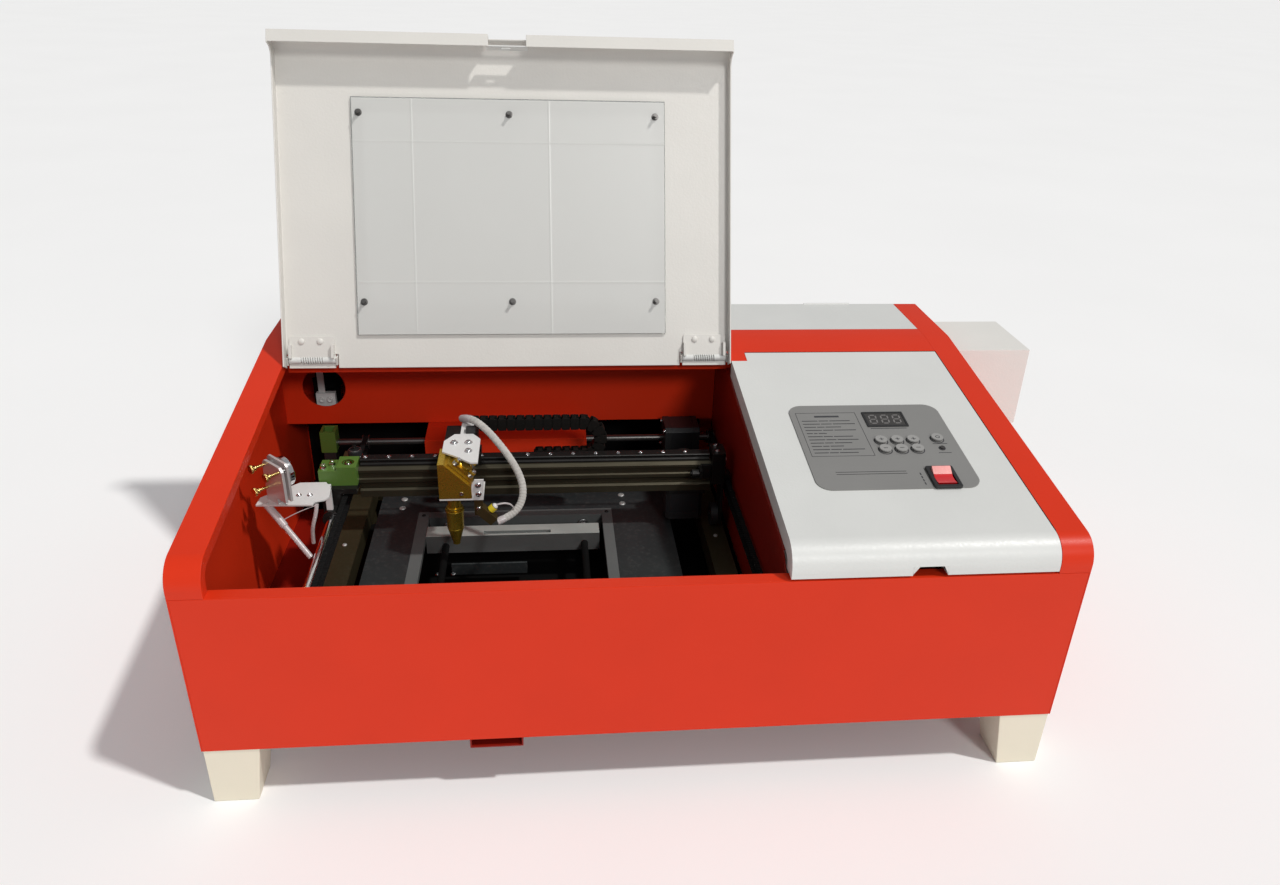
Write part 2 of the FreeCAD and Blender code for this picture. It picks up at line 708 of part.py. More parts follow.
def hose(points, radius):
    """Round hose along a route, with one arc at each inner point."""
    route = [Vector(*p) for p in points]
    edges = []
    here = route[0]
    for before, corner, after in zip(route, route[1:], route[2:]):
        inward = (before - corner).normalize()
        outward = (after - corner).normalize()
        turn = math.pi - inward.getAngle(outward)
        reach = 0.45 * min((before - corner).Length, (after - corner).Length)
        bend = reach / math.tan(turn / 2)
        start = corner + inward * reach
        end = corner + outward * reach
        centre = corner + (inward + outward).normalize() * (bend / math.cos(turn / 2))
        middle = centre + (corner - centre).normalize() * bend
        edges.append(Part.LineSegment(here, start).toShape())
        edges.append(Part.Arc(start, middle, end).toShape())
        print("hose bend radius %.1f" % bend)
        here = end
    edges.append(Part.LineSegment(here, route[-1]).toShape())
    spine = Part.Wire(edges)
    first = route[1] - route[0]
    profile = Part.Wire([Part.Circle(route[0], first, radius).toShape()])
    tube = spine.makePipeShell([profile], True, True)
    area = math.pi * radius ** 2
    print("hose length %.1f volume ratio %.4f" % (spine.Length, tube.Volume / (area * spine.Length)))
    return tube


HOSE_ROUTE = [
    (222, 292, 252), (232, 279, 259), (247, 265, 255), (262, 250, 244), (276, 238, 229),
    (286, 228, 213), (289, 219, 198), (284, 211, 185), (272, 205, 177), (261, 201.5, 174),
]
air_hose = doc.addObject("Part::Feature", "AirHose")
air_hose.Shape = hose(HOSE_ROUTE, 4.0)
node("air_hose", air_hose)

chain_path = [
    (230, 233), (355, 233), ((367.5, 220.5), (355, 208)), (300, 208), (300, 193), (355, 193),
    ((382.5, 220.5), (355, 248)), (230, 248),
]
node("drag_chain", outline("XZ", chain_path, (297, 309)))

# ---------------------------------------------------------------- main lid

lid_span = ("lid_left", "lid_right")
LID_REAR = size("lid_rear")
LID_LOW = 230.0
lid_shell = fuse(
    skin(0, WALL, LID_REAR, LID_LOW, lid_span),
    skin(WALL, size("lid_skirt"), LID_REAR, LID_LOW, ("lid_left", "lid_left + sheet")),
    skin(WALL, size("lid_skirt"), LID_REAR, LID_LOW, ("lid_right - sheet", "lid_right")),
    block(lid_span, (WALL, 13), (LID_LOW, LID_LOW + WALL)),
)
lid_notches = [
    block((122, 438), (72, 294), (200, 330)),
    block((259, 299), (-1, 14.5), (228, 241)),
    block((32.5, 88), ("hinge_back - 6.5", 346), (280, 330)),
    block((466, 521.5), ("hinge_back - 6.5", 346), (280, 330)),
]
node("main_lid", cut(lid_shell, *lid_notches), place=LID_TURN)

window_path = [(57, deck(57, WALL)), (309, deck(309, WALL)), (309, deck(309, 4.5)), (57, deck(57, 4.5))]
node("lid_window", outline("YZ", window_path, (110, 450)), place=LID_TURN)


def lid_hinge(left, right):
    """Barrel and leaf of one hinge, on the inside of the lid."""
    barrel = cut(bar("X", (left, right), "hinge_back", "hinge_height", 4.6),
                 bar("X", (left - 1, right + 1), "hinge_back", "hinge_height", 1.56))
    leaf_path = [(312, deck(312, WALL)), (333, deck(333, WALL)), (333, deck(333, 3.2)), (312, deck(312, 3.2))]
    return fuse(barrel, outline("YZ", leaf_path, (left + 2, right - 2)))


window_screws = []
for x in (118, 279, 439):
    for along in (72, 274):
        y = LID_REAR - along * math.cos(SLOPE)
        out = Vector(0, math.sin(SLOPE), -math.cos(SLOPE))
        start = Vector(x, y, deck(y, 4.5))
        window_screws.append(slanted_bar(tuple(start), tuple(start + out * 2.5), 4))
node("lid_hinges", lid_hinge(35, 85), lid_hinge(469, 519), *window_screws, place=LID_TURN)

# ---------------------------------------------------------------- control lid

control_span = ("control_left", "control_right")
control_shell = fuse(
    skin(0, WALL, LID_REAR, 232, control_span),
    skin(WALL, 18, LID_REAR, 232, ("control_left", "control_left + sheet")),
    skin(WALL, 18, LID_REAR, 232, ("control_right - sheet", "control_right")),
    block(control_span, (WALL, 13), (232, 232 + WALL)),
)
BUTTONS = {
    "power_digit_one_up": (649.8, 163.7), "power_digit_two_up": (666.5, 163.7),
    "power_digit_three_up": (683.1, 163.7), "power_digit_one_down": (649.8, 148.5),
    "power_digit_two_down": (666.5, 148.5), "power_digit_three_down": (683.1, 148.5),
    "laser_test": (709.0, 166.0),
}
DISPLAY = ((645, 686), (190, 214))
ROCKER = ((683, 703), (88, 114))
control_cuts = [
    block(("control_left - 1", 542.7), (326.3, 346), (250, 330)),
    block((634, 666), (-1, 14.5), (230, 241)),
    block((647, 684), (192, 210), (240, 320)),
    block((682, 704), (87, 114), (240, 300)),
]
control_cuts += [bar("Z", (240, 320), x, y, 4.5) for x, y in BUTTONS.values()]
control_cuts.append(bar("Z", (240, 320), 709, 149.4, 2.8))
node("control_lid", cut(control_shell, *control_cuts))


def rounded(left, right, near, far, radius):
    """Rectangle with rounded corners."""
    k = radius * (1 - math.sqrt(0.5))
    return [
        (left + radius, near), (right - radius, near), ((right - k, near + k), (right, near + radius)),
        (right, far - radius), ((right - k, far - k), (right - radius, far)), (left + radius, far),
        ((left + k, far - k), (left, far - radius)), (left, near + radius),
        ((left + k, near + k), (left + radius, near)),
    ]


def up_slope(y):
    """Distance up the slope of a point that lies y behind the front face."""
    return y / math.cos(SLOPE)


# everything below is laid out in the slope's own frame
plate = cut(
    outline("XY", rounded(567, 728, up_slope(86), up_slope(230), 15), (0, 1.2)),
    block(DISPLAY[0], (up_slope(190), up_slope(214)), (-1, 3)),
    block(ROCKER[0], (up_slope(88), up_slope(114)), (-1, 3)),
    *[bar("Z", (-1, 3), x, up_slope(y), 4.4) for x, y in BUTTONS.values()],
    bar("Z", (-1, 3), 709, up_slope(149.4), 2.6),
)
bezel = cut(
    block((680, 706), (up_slope(85), up_slope(117)), (1.2, 3.4)),
    block(ROCKER[0], (up_slope(88), up_slope(114)), (0, 5)),
)
node("panel_plate", plate, bezel, place=ON_SLOPE)
node("display",
     block((645.2, 685.8), (up_slope(190) + 0.2, up_slope(214) - 0.2), (0.1, 1.8)),
     bar("Z", (-4, 3.2), 709, up_slope(149.4), 2.4), place=ON_SLOPE)
for name, (x, y) in BUTTONS.items():
    cap = fuse(bar("Z", (2.7, 4.2), x, up_slope(y), 6), bar("Z", (-7, 2.7), x, up_slope(y), 4))
    node(name + "_button", cap, place=ON_SLOPE)

# the rocker turns about a pin across the switch, one millimetre under the skin
ROCKER_MID = up_slope(101)
rocker_path = [(-11.6, 4.4), (-1, 2.6), (1, 2.8), (11.4, 7.8), (9.5, -6), (-9.5, -6)]
rocker = outline("YZ", [(ROCKER_MID + s, z) for s, z in rocker_path], (683.6, 702.4))
rocker_pin = bar("X", (683.2, 702.8), ROCKER_MID, -1, 1)
node("rocker_switch", fuse(rocker, rocker_pin), place=ON_SLOPE)

# rear cover with three hinge barrels along its back edge
cover = block(("border + 0.3", "casing_width - border - 0.3"),
              ("cover_front", "casing_depth - 0.3"), ("casing_top - 1.2", "casing_top"))
cover_barrels = [bar("X", (x, x + 60), "casing_depth - 0.3", "casing_top", 1.4) for x in (90, 370, 650)]
node("tube_cover", fuse(cover, *cover_barrels))

# ---------------------------------------------------------------- electronics

supply = block((556, 636), (230, 380), (66, 158))
board = block((660, 770), (250, 380), (74, 76))
board_legs = [bar("Z", (64.5, 74), x, y, 3) for x in (666, 764) for y in (256, 374)]
board_parts = [
    block((680, 704), (280, 304), (76, 84)), block((720, 744), (280, 304), (76, 84)),
    block((680, 744), (330, 350), (76, 88)),
]
supply_feet = block((556, 636), (220, 390), (64.5, 66))
node("electronics", fuse(supply, supply_feet), fuse(board, *board_legs, *board_parts))

inlet = block((640.2, 667.8), (486, 500), (90.2, 111.8))
inlet_flange = cut(block((632, 676), (500, 503), (86, 116)), block((645, 663), (499, 504), (95, 107)))
water = [fuse(bar("Y", (490, 524), x, 110, 5), bar("Y", (500, 504), x, 110, 9)) for x in (700, 730)]
node("rear_connectors", fuse(inlet, inlet_flange), *water)

# ---------------------------------------------------------------- check, write

doc.recompute()
for obj in doc.Objects:
    if "Invalid" in obj.State or "Error" in obj.State:
        raise RuntimeError("%s %s %s" % (obj.Name, obj.Label, obj.State))
os.makedirs("parts", exist_ok=True)
for group in NODES:
    shape = group.Shape
    if shape.isNull() or not shape.isValid():
        raise RuntimeError("bad shape: " + group.Label)
    if not shape.Solids or shape.Volume <= 0:
        raise RuntimeError("no solid: " + group.Label)
    shape.exportStep("parts/%s.step" % group.Label)
whole = Part.makeCompound([group.Shape for group in NODES]).BoundBox
print("nodes", len(NODES))
print("box", [round(v, 2) for v in (whole.XMin, whole.XMax, whole.YMin, whole.YMax, whole.ZMin, whole.ZMax)])
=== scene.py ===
"""Laser engraver: its looks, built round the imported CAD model.

Lengths are written in millimetres from the casing's front left corner at floor
level: X along the front, Y to the back, Z up. A place matrix turns them into the
frame's metres. Some pieces are laid out in a tilted place of their own, such as the
slope of the casing, the open lid or the mirror at 45 degrees.
"""
import json
from itertools import product
from math import atan2, cos, exp, pi, radians, remainder, sin

import bmesh
import bpy
from mathutils import Matrix, Vector


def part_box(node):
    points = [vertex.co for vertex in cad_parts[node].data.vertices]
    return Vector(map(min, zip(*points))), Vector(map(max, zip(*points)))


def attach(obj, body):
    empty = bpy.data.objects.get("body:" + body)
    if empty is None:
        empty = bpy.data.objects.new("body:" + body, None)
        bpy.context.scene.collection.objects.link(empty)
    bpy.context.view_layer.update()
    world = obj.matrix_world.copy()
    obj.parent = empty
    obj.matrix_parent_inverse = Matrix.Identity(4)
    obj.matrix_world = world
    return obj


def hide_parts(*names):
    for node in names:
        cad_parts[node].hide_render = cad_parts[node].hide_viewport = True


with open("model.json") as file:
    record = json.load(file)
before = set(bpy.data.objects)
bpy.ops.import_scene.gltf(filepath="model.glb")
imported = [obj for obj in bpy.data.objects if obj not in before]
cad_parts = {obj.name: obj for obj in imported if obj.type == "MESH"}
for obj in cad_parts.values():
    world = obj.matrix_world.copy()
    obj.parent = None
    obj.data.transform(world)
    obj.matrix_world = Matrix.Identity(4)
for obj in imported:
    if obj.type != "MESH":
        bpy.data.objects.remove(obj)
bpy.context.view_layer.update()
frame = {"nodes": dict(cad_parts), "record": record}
SCENE = bpy.context.scene
NODES = frame["nodes"]
BUTTONS = [name for name in NODES if name.endswith("_button")]

# ------ places

MM = 0.001
CORNER = Vector((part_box("side_panel_left")[0].x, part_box("front_panel")[0].y, 0))
MACHINE = Matrix.Translation(CORNER) @ Matrix.Scale(MM, 4)
SLOPE_START = 258.4
SLOPE_ANGLE = atan2(311 - SLOPE_START, 382)
LID_ANGLE = radians(119.7)
HINGE = Vector((0, 336, 304))
UP_SLOPE = Matrix.Translation((0, 0, SLOPE_START)) @ Matrix.Rotation(SLOPE_ANGLE, 4, "X")
SLOPE = MACHINE @ UP_SLOPE
LID = MACHINE @ Matrix.Translation(HINGE) @ Matrix.Rotation(-LID_ANGLE, 4, "X") @ Matrix.Translation(-HINGE)
LID_SLOPE = LID @ UP_SLOPE
MIRROR = MACHINE @ Matrix.Translation((50, 214, 0)) @ Matrix.Rotation(radians(-45), 4, "Z")
UP, DOWN = (0, 0, 1), (0, 0, -1)
RIGHT, LEFT = (1, 0, 0), (-1, 0, 0)
BACK, FRONT = (0, 1, 0), (0, -1, 0)
SLANT = Vector((1, 0, 1)).normalized()
TURNED = {"X": Matrix(((0, 0, 1, 0), (1, 0, 0, 0), (0, 1, 0, 0), (0, 0, 0, 1))),
          "Y": Matrix(((1, 0, 0, 0), (0, 0, -1, 0), (0, 1, 0, 0), (0, 0, 0, 1))),
          "Z": Matrix()}
FLIPPED = Matrix(((1, 0, 0, 0), (0, 0, 1, 0), (0, 1, 0, 0), (0, 0, 0, 1)))


def up(y):
    """Distance up the slope of a point that lies y behind the front face."""
    return y / cos(SLOPE_ANGLE)


# ------ camera

CAMERA_PLACE = (313.2, -686.3, 721.2)
CAMERA_LENS = 27.42
CAMERA_PITCH = 0.4720
CAMERA_YAW = 0.1081
CAMERA_ROLL = 0.0333

camera = bpy.data.objects.new("Camera", bpy.data.cameras.new("Camera"))
camera.data.lens = CAMERA_LENS
camera.data.sensor_width = 36
camera.data.clip_end = 200
camera.matrix_world = (Matrix.Translation(MACHINE @ Vector(CAMERA_PLACE)) @ Matrix.Rotation(-CAMERA_YAW, 4, "Z")
                       @ Matrix.Rotation(pi / 2 - CAMERA_PITCH, 4, "X")
                       @ Matrix.Rotation(CAMERA_ROLL, 4, "Z"))
SCENE.collection.objects.link(camera)
SCENE.camera = camera

# ------ materials


class Nodes:
    """Small helper for a material's node tree."""

    def __init__(self, name):
        self.material = bpy.data.materials.new(name)
        self.material.use_nodes = True
        self.tree = self.material.node_tree
        self.shader = self.tree.nodes["Principled BSDF"]
        self.place = self.add("ShaderNodeTexCoord").outputs["Object"]

    def add(self, kind, **inputs):
        node = self.tree.nodes.new(kind)
        for name, value in inputs.items():
            self.put(value, node.inputs[name.replace("_", " ")])
        return node

    def put(self, value, socket):
        if isinstance(value, bpy.types.NodeSocket):
            self.tree.links.new(value, socket)
        else:
            socket.default_value = value

    def noise(self, scale, detail=3.0, place=None):
        made = self.add("ShaderNodeTexNoise", Vector=place or self.place, Scale=scale, Detail=detail)
        return made.outputs["Fac"]

    def spread(self, value, low, high, start=0.3, end=0.7):
        made = self.add("ShaderNodeMapRange", Value=value, From_Min=start, From_Max=end, To_Min=low, To_Max=high)
        return made.outputs["Result"]

    def mix(self, factor, first, second):
        made = self.tree.nodes.new("ShaderNodeMix")
        made.data_type = "RGBA"
        self.put(factor, made.inputs["Factor"])
        self.put(first, made.inputs["A"])
        self.put(second, made.inputs["B"])
        return made.outputs["Result"]

    def bump(self, height, distance):
        return self.add("ShaderNodeBump", Height=height, Distance=distance, Strength=1.0).outputs["Normal"]

    def set(self, **inputs):
        for name, value in inputs.items():
            self.put(value, self.shader.inputs[name.replace("_", " ")])


def shade(colour, factor):
    return tuple(min(1.0, c * factor) for c in colour[:3]) + (1.0,)


DUST = (0.42, 0.40, 0.37, 1.0)
MICROMETRE = 0.000001


def surface(name, colour, rough, metal=0.0, tone=0.05, tone_scale=14.0, spread=0.05, grain=900.0,
            relief=10, stretch=(1, 1, 1), dust=0.0, **inputs):
    """Material whose colour drifts, whose roughness varies and whose grain stands up by its relief."""
    made = Nodes(name)
    place = made.add("ShaderNodeMapping", Vector=made.place, Scale=stretch).outputs["Vector"]
    drift = made.spread(made.noise(tone_scale, 4.0), 0.0, 1.0)
    base = made.mix(drift, shade(colour, 1 - tone), shade(colour, 1 + tone))
    grain_noise = made.noise(grain, 2.0, place)
    if dust:
        speck = made.spread(made.noise(260.0, 6.0), 0.0, dust, 0.52, 0.72)
        base = made.mix(speck, base, DUST)
    made.set(Base_Color=base, Metallic=metal, Normal=made.bump(grain_noise, relief * MICROMETRE),
             Roughness=made.spread(grain_noise, rough - spread, rough + spread), **inputs)
    return made.material


# The darker red and the near-black below are painted shade: darker than bare painted sheet, they stand for the
# shade inside the cabin.
RED = surface("red_powder_coat", (0.68, 0.034, 0.008), 0.38, tone=0.02, grain=1100, relief=40,
              Specular_IOR_Level=0.2)
WHITE = surface("white_powder_coat", (0.68, 0.685, 0.665), 0.40, tone=0.02, grain=420, relief=120)
CREAM = surface("cream_plastic", (0.80, 0.74, 0.60), 0.5, tone=0.03, grain=700, relief=30)
GREY_PLATE = surface("grey_brushed_panel", (0.30, 0.295, 0.285), 0.42, metal=0.35, tone=0.03, grain=60,
                     stretch=(1, 30, 30))
PRINT = surface("panel_print", (0.045, 0.045, 0.05), 0.6, grain=1500, relief=20)
BOX_WHITE = surface("box_powder_coat", (0.80, 0.785, 0.745), 0.40, tone=0.02, grain=420, relief=120)
# Painted reflection: the lid's white is warmed for the red light the body throws on it.
REFLECTED_WARM_WHITE = surface("lid_white_painted_red_reflection", (0.69, 0.67, 0.63), 0.40, tone=0.02, grain=420, relief=120)
# Painted shade: the red sheet of the cabin's floor and divider, darkened for the shade that lies on them.
SHADED_RED = surface("red_coat_painted_shade", (0.22, 0.008, 0.003), 0.42, tone=0.06, grain=1100, relief=40,
                    Specular_IOR_Level=0.2)
BLACK = surface("black_plastic", (0.018, 0.018, 0.019), 0.48, tone=0.2, grain=1500, relief=30)
BLACK_METAL = surface("black_oxide", (0.022, 0.021, 0.02), 0.38, metal=0.6, tone=0.2, relief=20)
BOARD = surface("black_painted_board", (0.020, 0.024, 0.025), 0.44, tone=0.2, grain=800, relief=30, dust=0.05)
# Painted shade: near-black for what lies in deep shade in the cabin and the well, and for the dark gap of the
# cover's seam.
SHADE_BLACK = surface("painted_shade_black", (0.004, 0.004, 0.004), 0.8, tone=0.2, grain=500, relief=20,
                Specular_IOR_Level=0.08)
CHAIN_BLACK = surface("chain_nylon", (0.007, 0.006, 0.005), 0.6, tone=0.2, grain=1500, relief=30,
                      Specular_IOR_Level=0.2)
BROWN = surface("brown_anodised", (0.075, 0.065, 0.042), 0.36, metal=0.7, tone=0.1, grain=50,
                stretch=(1, 24, 24))
OLIVE = surface("olive_anodised", (0.075, 0.062, 0.032), 0.40, metal=0.6, tone=0.12, grain=50,
                stretch=(24, 1, 24), dust=0.04)
GREEN = surface("green_paint", (0.085, 0.17, 0.028), 0.42, tone=0.08, grain=1200, relief=40)
CHROME = surface("chrome", (0.78, 0.78, 0.79), 0.12, metal=1.0, tone=0.02, spread=0.04, grain=400, relief=4)
ZINC = surface("zinc_screw", (0.50, 0.50, 0.49), 0.45, metal=0.45, tone=0.06, grain=200, relief=8)
STEEL = surface("turned_steel", (0.55, 0.55, 0.55), 0.30, metal=1.0, tone=0.06, grain=90, relief=8)
DARK_STEEL = surface("dark_steel", (0.16, 0.155, 0.15), 0.34, metal=0.9, tone=0.08, grain=500)
ALUMINIUM = surface("brushed_aluminium", (0.60, 0.62, 0.61), 0.33, metal=0.9, tone=0.08, grain=40,
                    stretch=(1, 26, 26), dust=0.03)
# Painted reflection: the jaw's top is lighter and less metallic than its aluminium, for the white lid it reflects;
# the dust specks are real.
JAW_TOP_REFLECTION = surface("jaw_top_painted_reflection", (0.42, 0.45, 0.425), 0.42, metal=0.3, tone=0.10, tone_scale=30, grain=60,
                      stretch=(1, 26, 26), dust=0.03)
GREY_STRIP = surface("grey_strip", (0.125, 0.132, 0.13), 0.5, metal=0.15, tone=0.08, grain=40,
                     stretch=(26, 1, 26), dust=0.03)
GOLD = surface("gold_anodised", (0.58, 0.39, 0.045), 0.30, metal=0.85, tone=0.07, grain=600, relief=8)
BRONZE = surface("dark_bronze", (0.12, 0.085, 0.035), 0.36, metal=0.7, tone=0.1, grain=600)
BRASS = surface("brass", (0.78, 0.55, 0.20), 0.28, metal=1.0, tone=0.06, grain=500)
WHITE_PLATE = surface("white_painted_plate", (0.70, 0.69, 0.68), 0.38, tone=0.03, relief=30)
PALE_METAL = surface("pale_aluminium", (0.72, 0.68, 0.67), 0.34, metal=0.45, grain=600)
SLEEVE = surface("woven_sleeve", (0.50, 0.48, 0.45), 0.62, tone=0.12, tone_scale=220, grain=2600, relief=50)
RUBBER = surface("belt_rubber", (0.02, 0.02, 0.02), 0.7, tone=0.15, grain=1400, relief=40)
MOTOR = surface("motor_black", (0.018, 0.018, 0.02), 0.4, tone=0.1, grain=1100, relief=30)
YELLOW = surface("yellow_plastic", (0.80, 0.62, 0.03), 0.35, grain=1200, relief=20)
DISPLAY = surface("smoked_display", (0.045, 0.042, 0.040), 0.16, relief=2)
SEGMENT = surface("display_segment", (0.20, 0.19, 0.185), 0.35, relief=20)
BUTTON = surface("button_plastic", (0.32, 0.315, 0.305), 0.30, tone=0.03, grain=1300)
ROCKER = surface("rocker_red", (0.62, 0.012, 0.018), 0.20, relief=4,
                 Coat_Weight=0.6, Coat_Roughness=0.1)
# Painted highlight: a pale pink for the light that the rocker's far half reflects; it is no lamp.
ROCKER_HIGHLIGHT = surface("rocker_painted_highlight", (0.86, 0.36, 0.34), 0.18, tone=0.10, tone_scale=120, relief=4)
CIRCUIT = surface("circuit_board", (0.012, 0.10, 0.035), 0.38, tone=0.25, tone_scale=120, relief=20)
CLEAR_TUBE = surface("clear_tubing", (0.74, 0.68, 0.68), 0.22, grain=700,
                     Transmission_Weight=0.35, IOR=1.42)
GLASS = surface("tube_glass", (0.92, 0.95, 0.95), 0.04, tone=0.01, spread=0.02, grain=200, relief=2,
                Transmission_Weight=0.95, IOR=1.25)
WINDOW = surface("clear_acrylic", (0.90, 0.93, 0.915), 0.07, tone=0.01, spread=0.01, grain=300, relief=2,
                 Transmission_Weight=0.75, IOR=1.12)
FILM = surface("window_film", (0.69, 0.69, 0.665), 0.30, tone=0.015, tone_scale=5, spread=0.02, grain=90,
               Alpha=0.8)


def belt_material(name, axis):
    """Rubber with teeth across the belt."""
    made = Nodes(name)
    wave = made.add("ShaderNodeTexWave", Vector=made.place, Scale=80.0)
    wave.bands_direction = axis
    made.set(Base_Color=made.mix(made.spread(made.noise(300.0), 0, 1), (0.005, 0.005, 0.005, 1),
                                 (0.010, 0.010, 0.010, 1)),
             Roughness=0.8, Specular_IOR_Level=0.1, Normal=made.bump(wave.outputs["Fac"], 0.0004))
    return made.material


NODE_FINISH = {
    RED: ["front_panel", "side_panel_left", "side_panel_right", "rear_panel", "rear_deck", "tube_bulkhead",
          "tube_floor", "exhaust_duct"],
    # Painted shade: the cabin's base pan and divider take the darkened red.
    SHADED_RED: ["base_pan", "cabin_divider"],
    # Painted reflection: the lid takes the warmed white.
    REFLECTED_WARM_WHITE: ["main_lid"],
    WHITE: ["control_lid", "tube_cover"],
    BOX_WHITE: ["tube_extension"],
    CREAM: ["feet"],
    GREY_PLATE: ["panel_plate"],
    PALE_METAL: ["electronics"],
    BLACK: ["fan_frame", "fan_impeller", "support_roller"],
    BLACK_METAL: ["head_carriage", "rod_bearing", "right_bracket", "tube_mounts", "x_pulley"],
    BOARD: ["bed_plate"],
    OLIVE: ["stage_frame"],
    GREEN: ["left_carriage"],
    CHROME: ["y_rod"],
    STEEL: ["y_idlers", "x_idler"],
    DARK_STEEL: ["y_shaft"],
    ALUMINIUM: ["clamp_jaw"],
    GOLD: ["laser_head"],
    BRONZE: ["pointer"],
    WHITE_PLATE: ["head_plates"],
    WINDOW: ["lid_window"],
    GLASS: ["laser_tube"],
    DISPLAY: ["display"],
    BUTTON: BUTTONS,
}

# ------ mesh building


CREASE = radians(38)
SCREW_SIDES = 24


def crisp_group():
    """Geometry nodes that keep edges sharper than the crease angle sharp and smooth the rest."""
    group = bpy.data.node_groups.new("Crisp", "GeometryNodeTree")
    for way in ("INPUT", "OUTPUT"):
        group.interface.new_socket("Geometry", in_out=way, socket_type="NodeSocketGeometry")
    start, end, faces, edges, angle, flat = (group.nodes.new(kind) for kind in (
        "NodeGroupInput", "NodeGroupOutput", "GeometryNodeSetShadeSmooth", "GeometryNodeSetShadeSmooth",
        "GeometryNodeInputMeshEdgeAngle", "FunctionNodeCompare"))
    edges.domain = "EDGE"
    flat.operation = "LESS_THAN"
    flat.inputs["B"].default_value = CREASE
    for output, socket in ((angle.outputs["Unsigned Angle"], flat.inputs["A"]),
                           (start.outputs[0], faces.inputs["Geometry"]),
                           (faces.outputs["Geometry"], edges.inputs["Geometry"]),
                           (flat.outputs["Result"], edges.inputs["Shade Smooth"]),
                           (edges.outputs["Geometry"], end.inputs[0])):
        group.links.new(output, socket)
    return group


CRISP = crisp_group()


def soften(thing, width, weld=False):
    """Small rounded edges with even shading on the flat faces."""
    if weld:
        joined = thing.modifiers.new("Weld", "WELD")
        joined.merge_threshold = 0.00001
        flat = thing.modifiers.new("Flat", "DECIMATE")
        flat.decimate_type = "DISSOLVE"
        flat.angle_limit = radians(0.3)
    if width:
        bevel = thing.modifiers.new("Bevel", "BEVEL")
        bevel.width = width * MM
        bevel.segments = 2
        bevel.limit_method = "ANGLE"
        bevel.angle_limit = CREASE
        bevel.use_clamp_overlap = True
    crisp = thing.modifiers.new("Crisp", "NODES")
    crisp.node_group = CRISP
    weighted = thing.modifiers.new("Normals", "WEIGHTED_NORMAL")
    weighted.keep_sharp = True


def circle(radius, sides, start=0.0):
    return [(radius * cos(start + 2 * pi * i / sides),
             radius * sin(start + 2 * pi * i / sides)) for i in range(sides)]


def rect(left, right, near, far):
    """Corners of a rectangle, anticlockwise."""
    return [(left, near), (right, near), (right, far), (left, far)]


def rounded_rect(left, right, near, far, radius, steps=6):
    """Rectangle with rounded corners, anticlockwise."""
    points = []
    corners = [(right - radius, near + radius, -90), (right - radius, far - radius, 0),
               (left + radius, far - radius, 90), (left + radius, near + radius, 180)]
    for x, y, first in corners:
        for step in range(steps + 1):
            angle = radians(first + 90 * step / steps)
            points.append((x + radius * cos(angle), y + radius * sin(angle)))
    return points


def standing(base, direction):
    """Matrix that stands on a base with its Z axis along a direction."""
    return Matrix.Translation(base) @ Vector(direction).to_track_quat("Z", "Y").to_matrix().to_4x4()


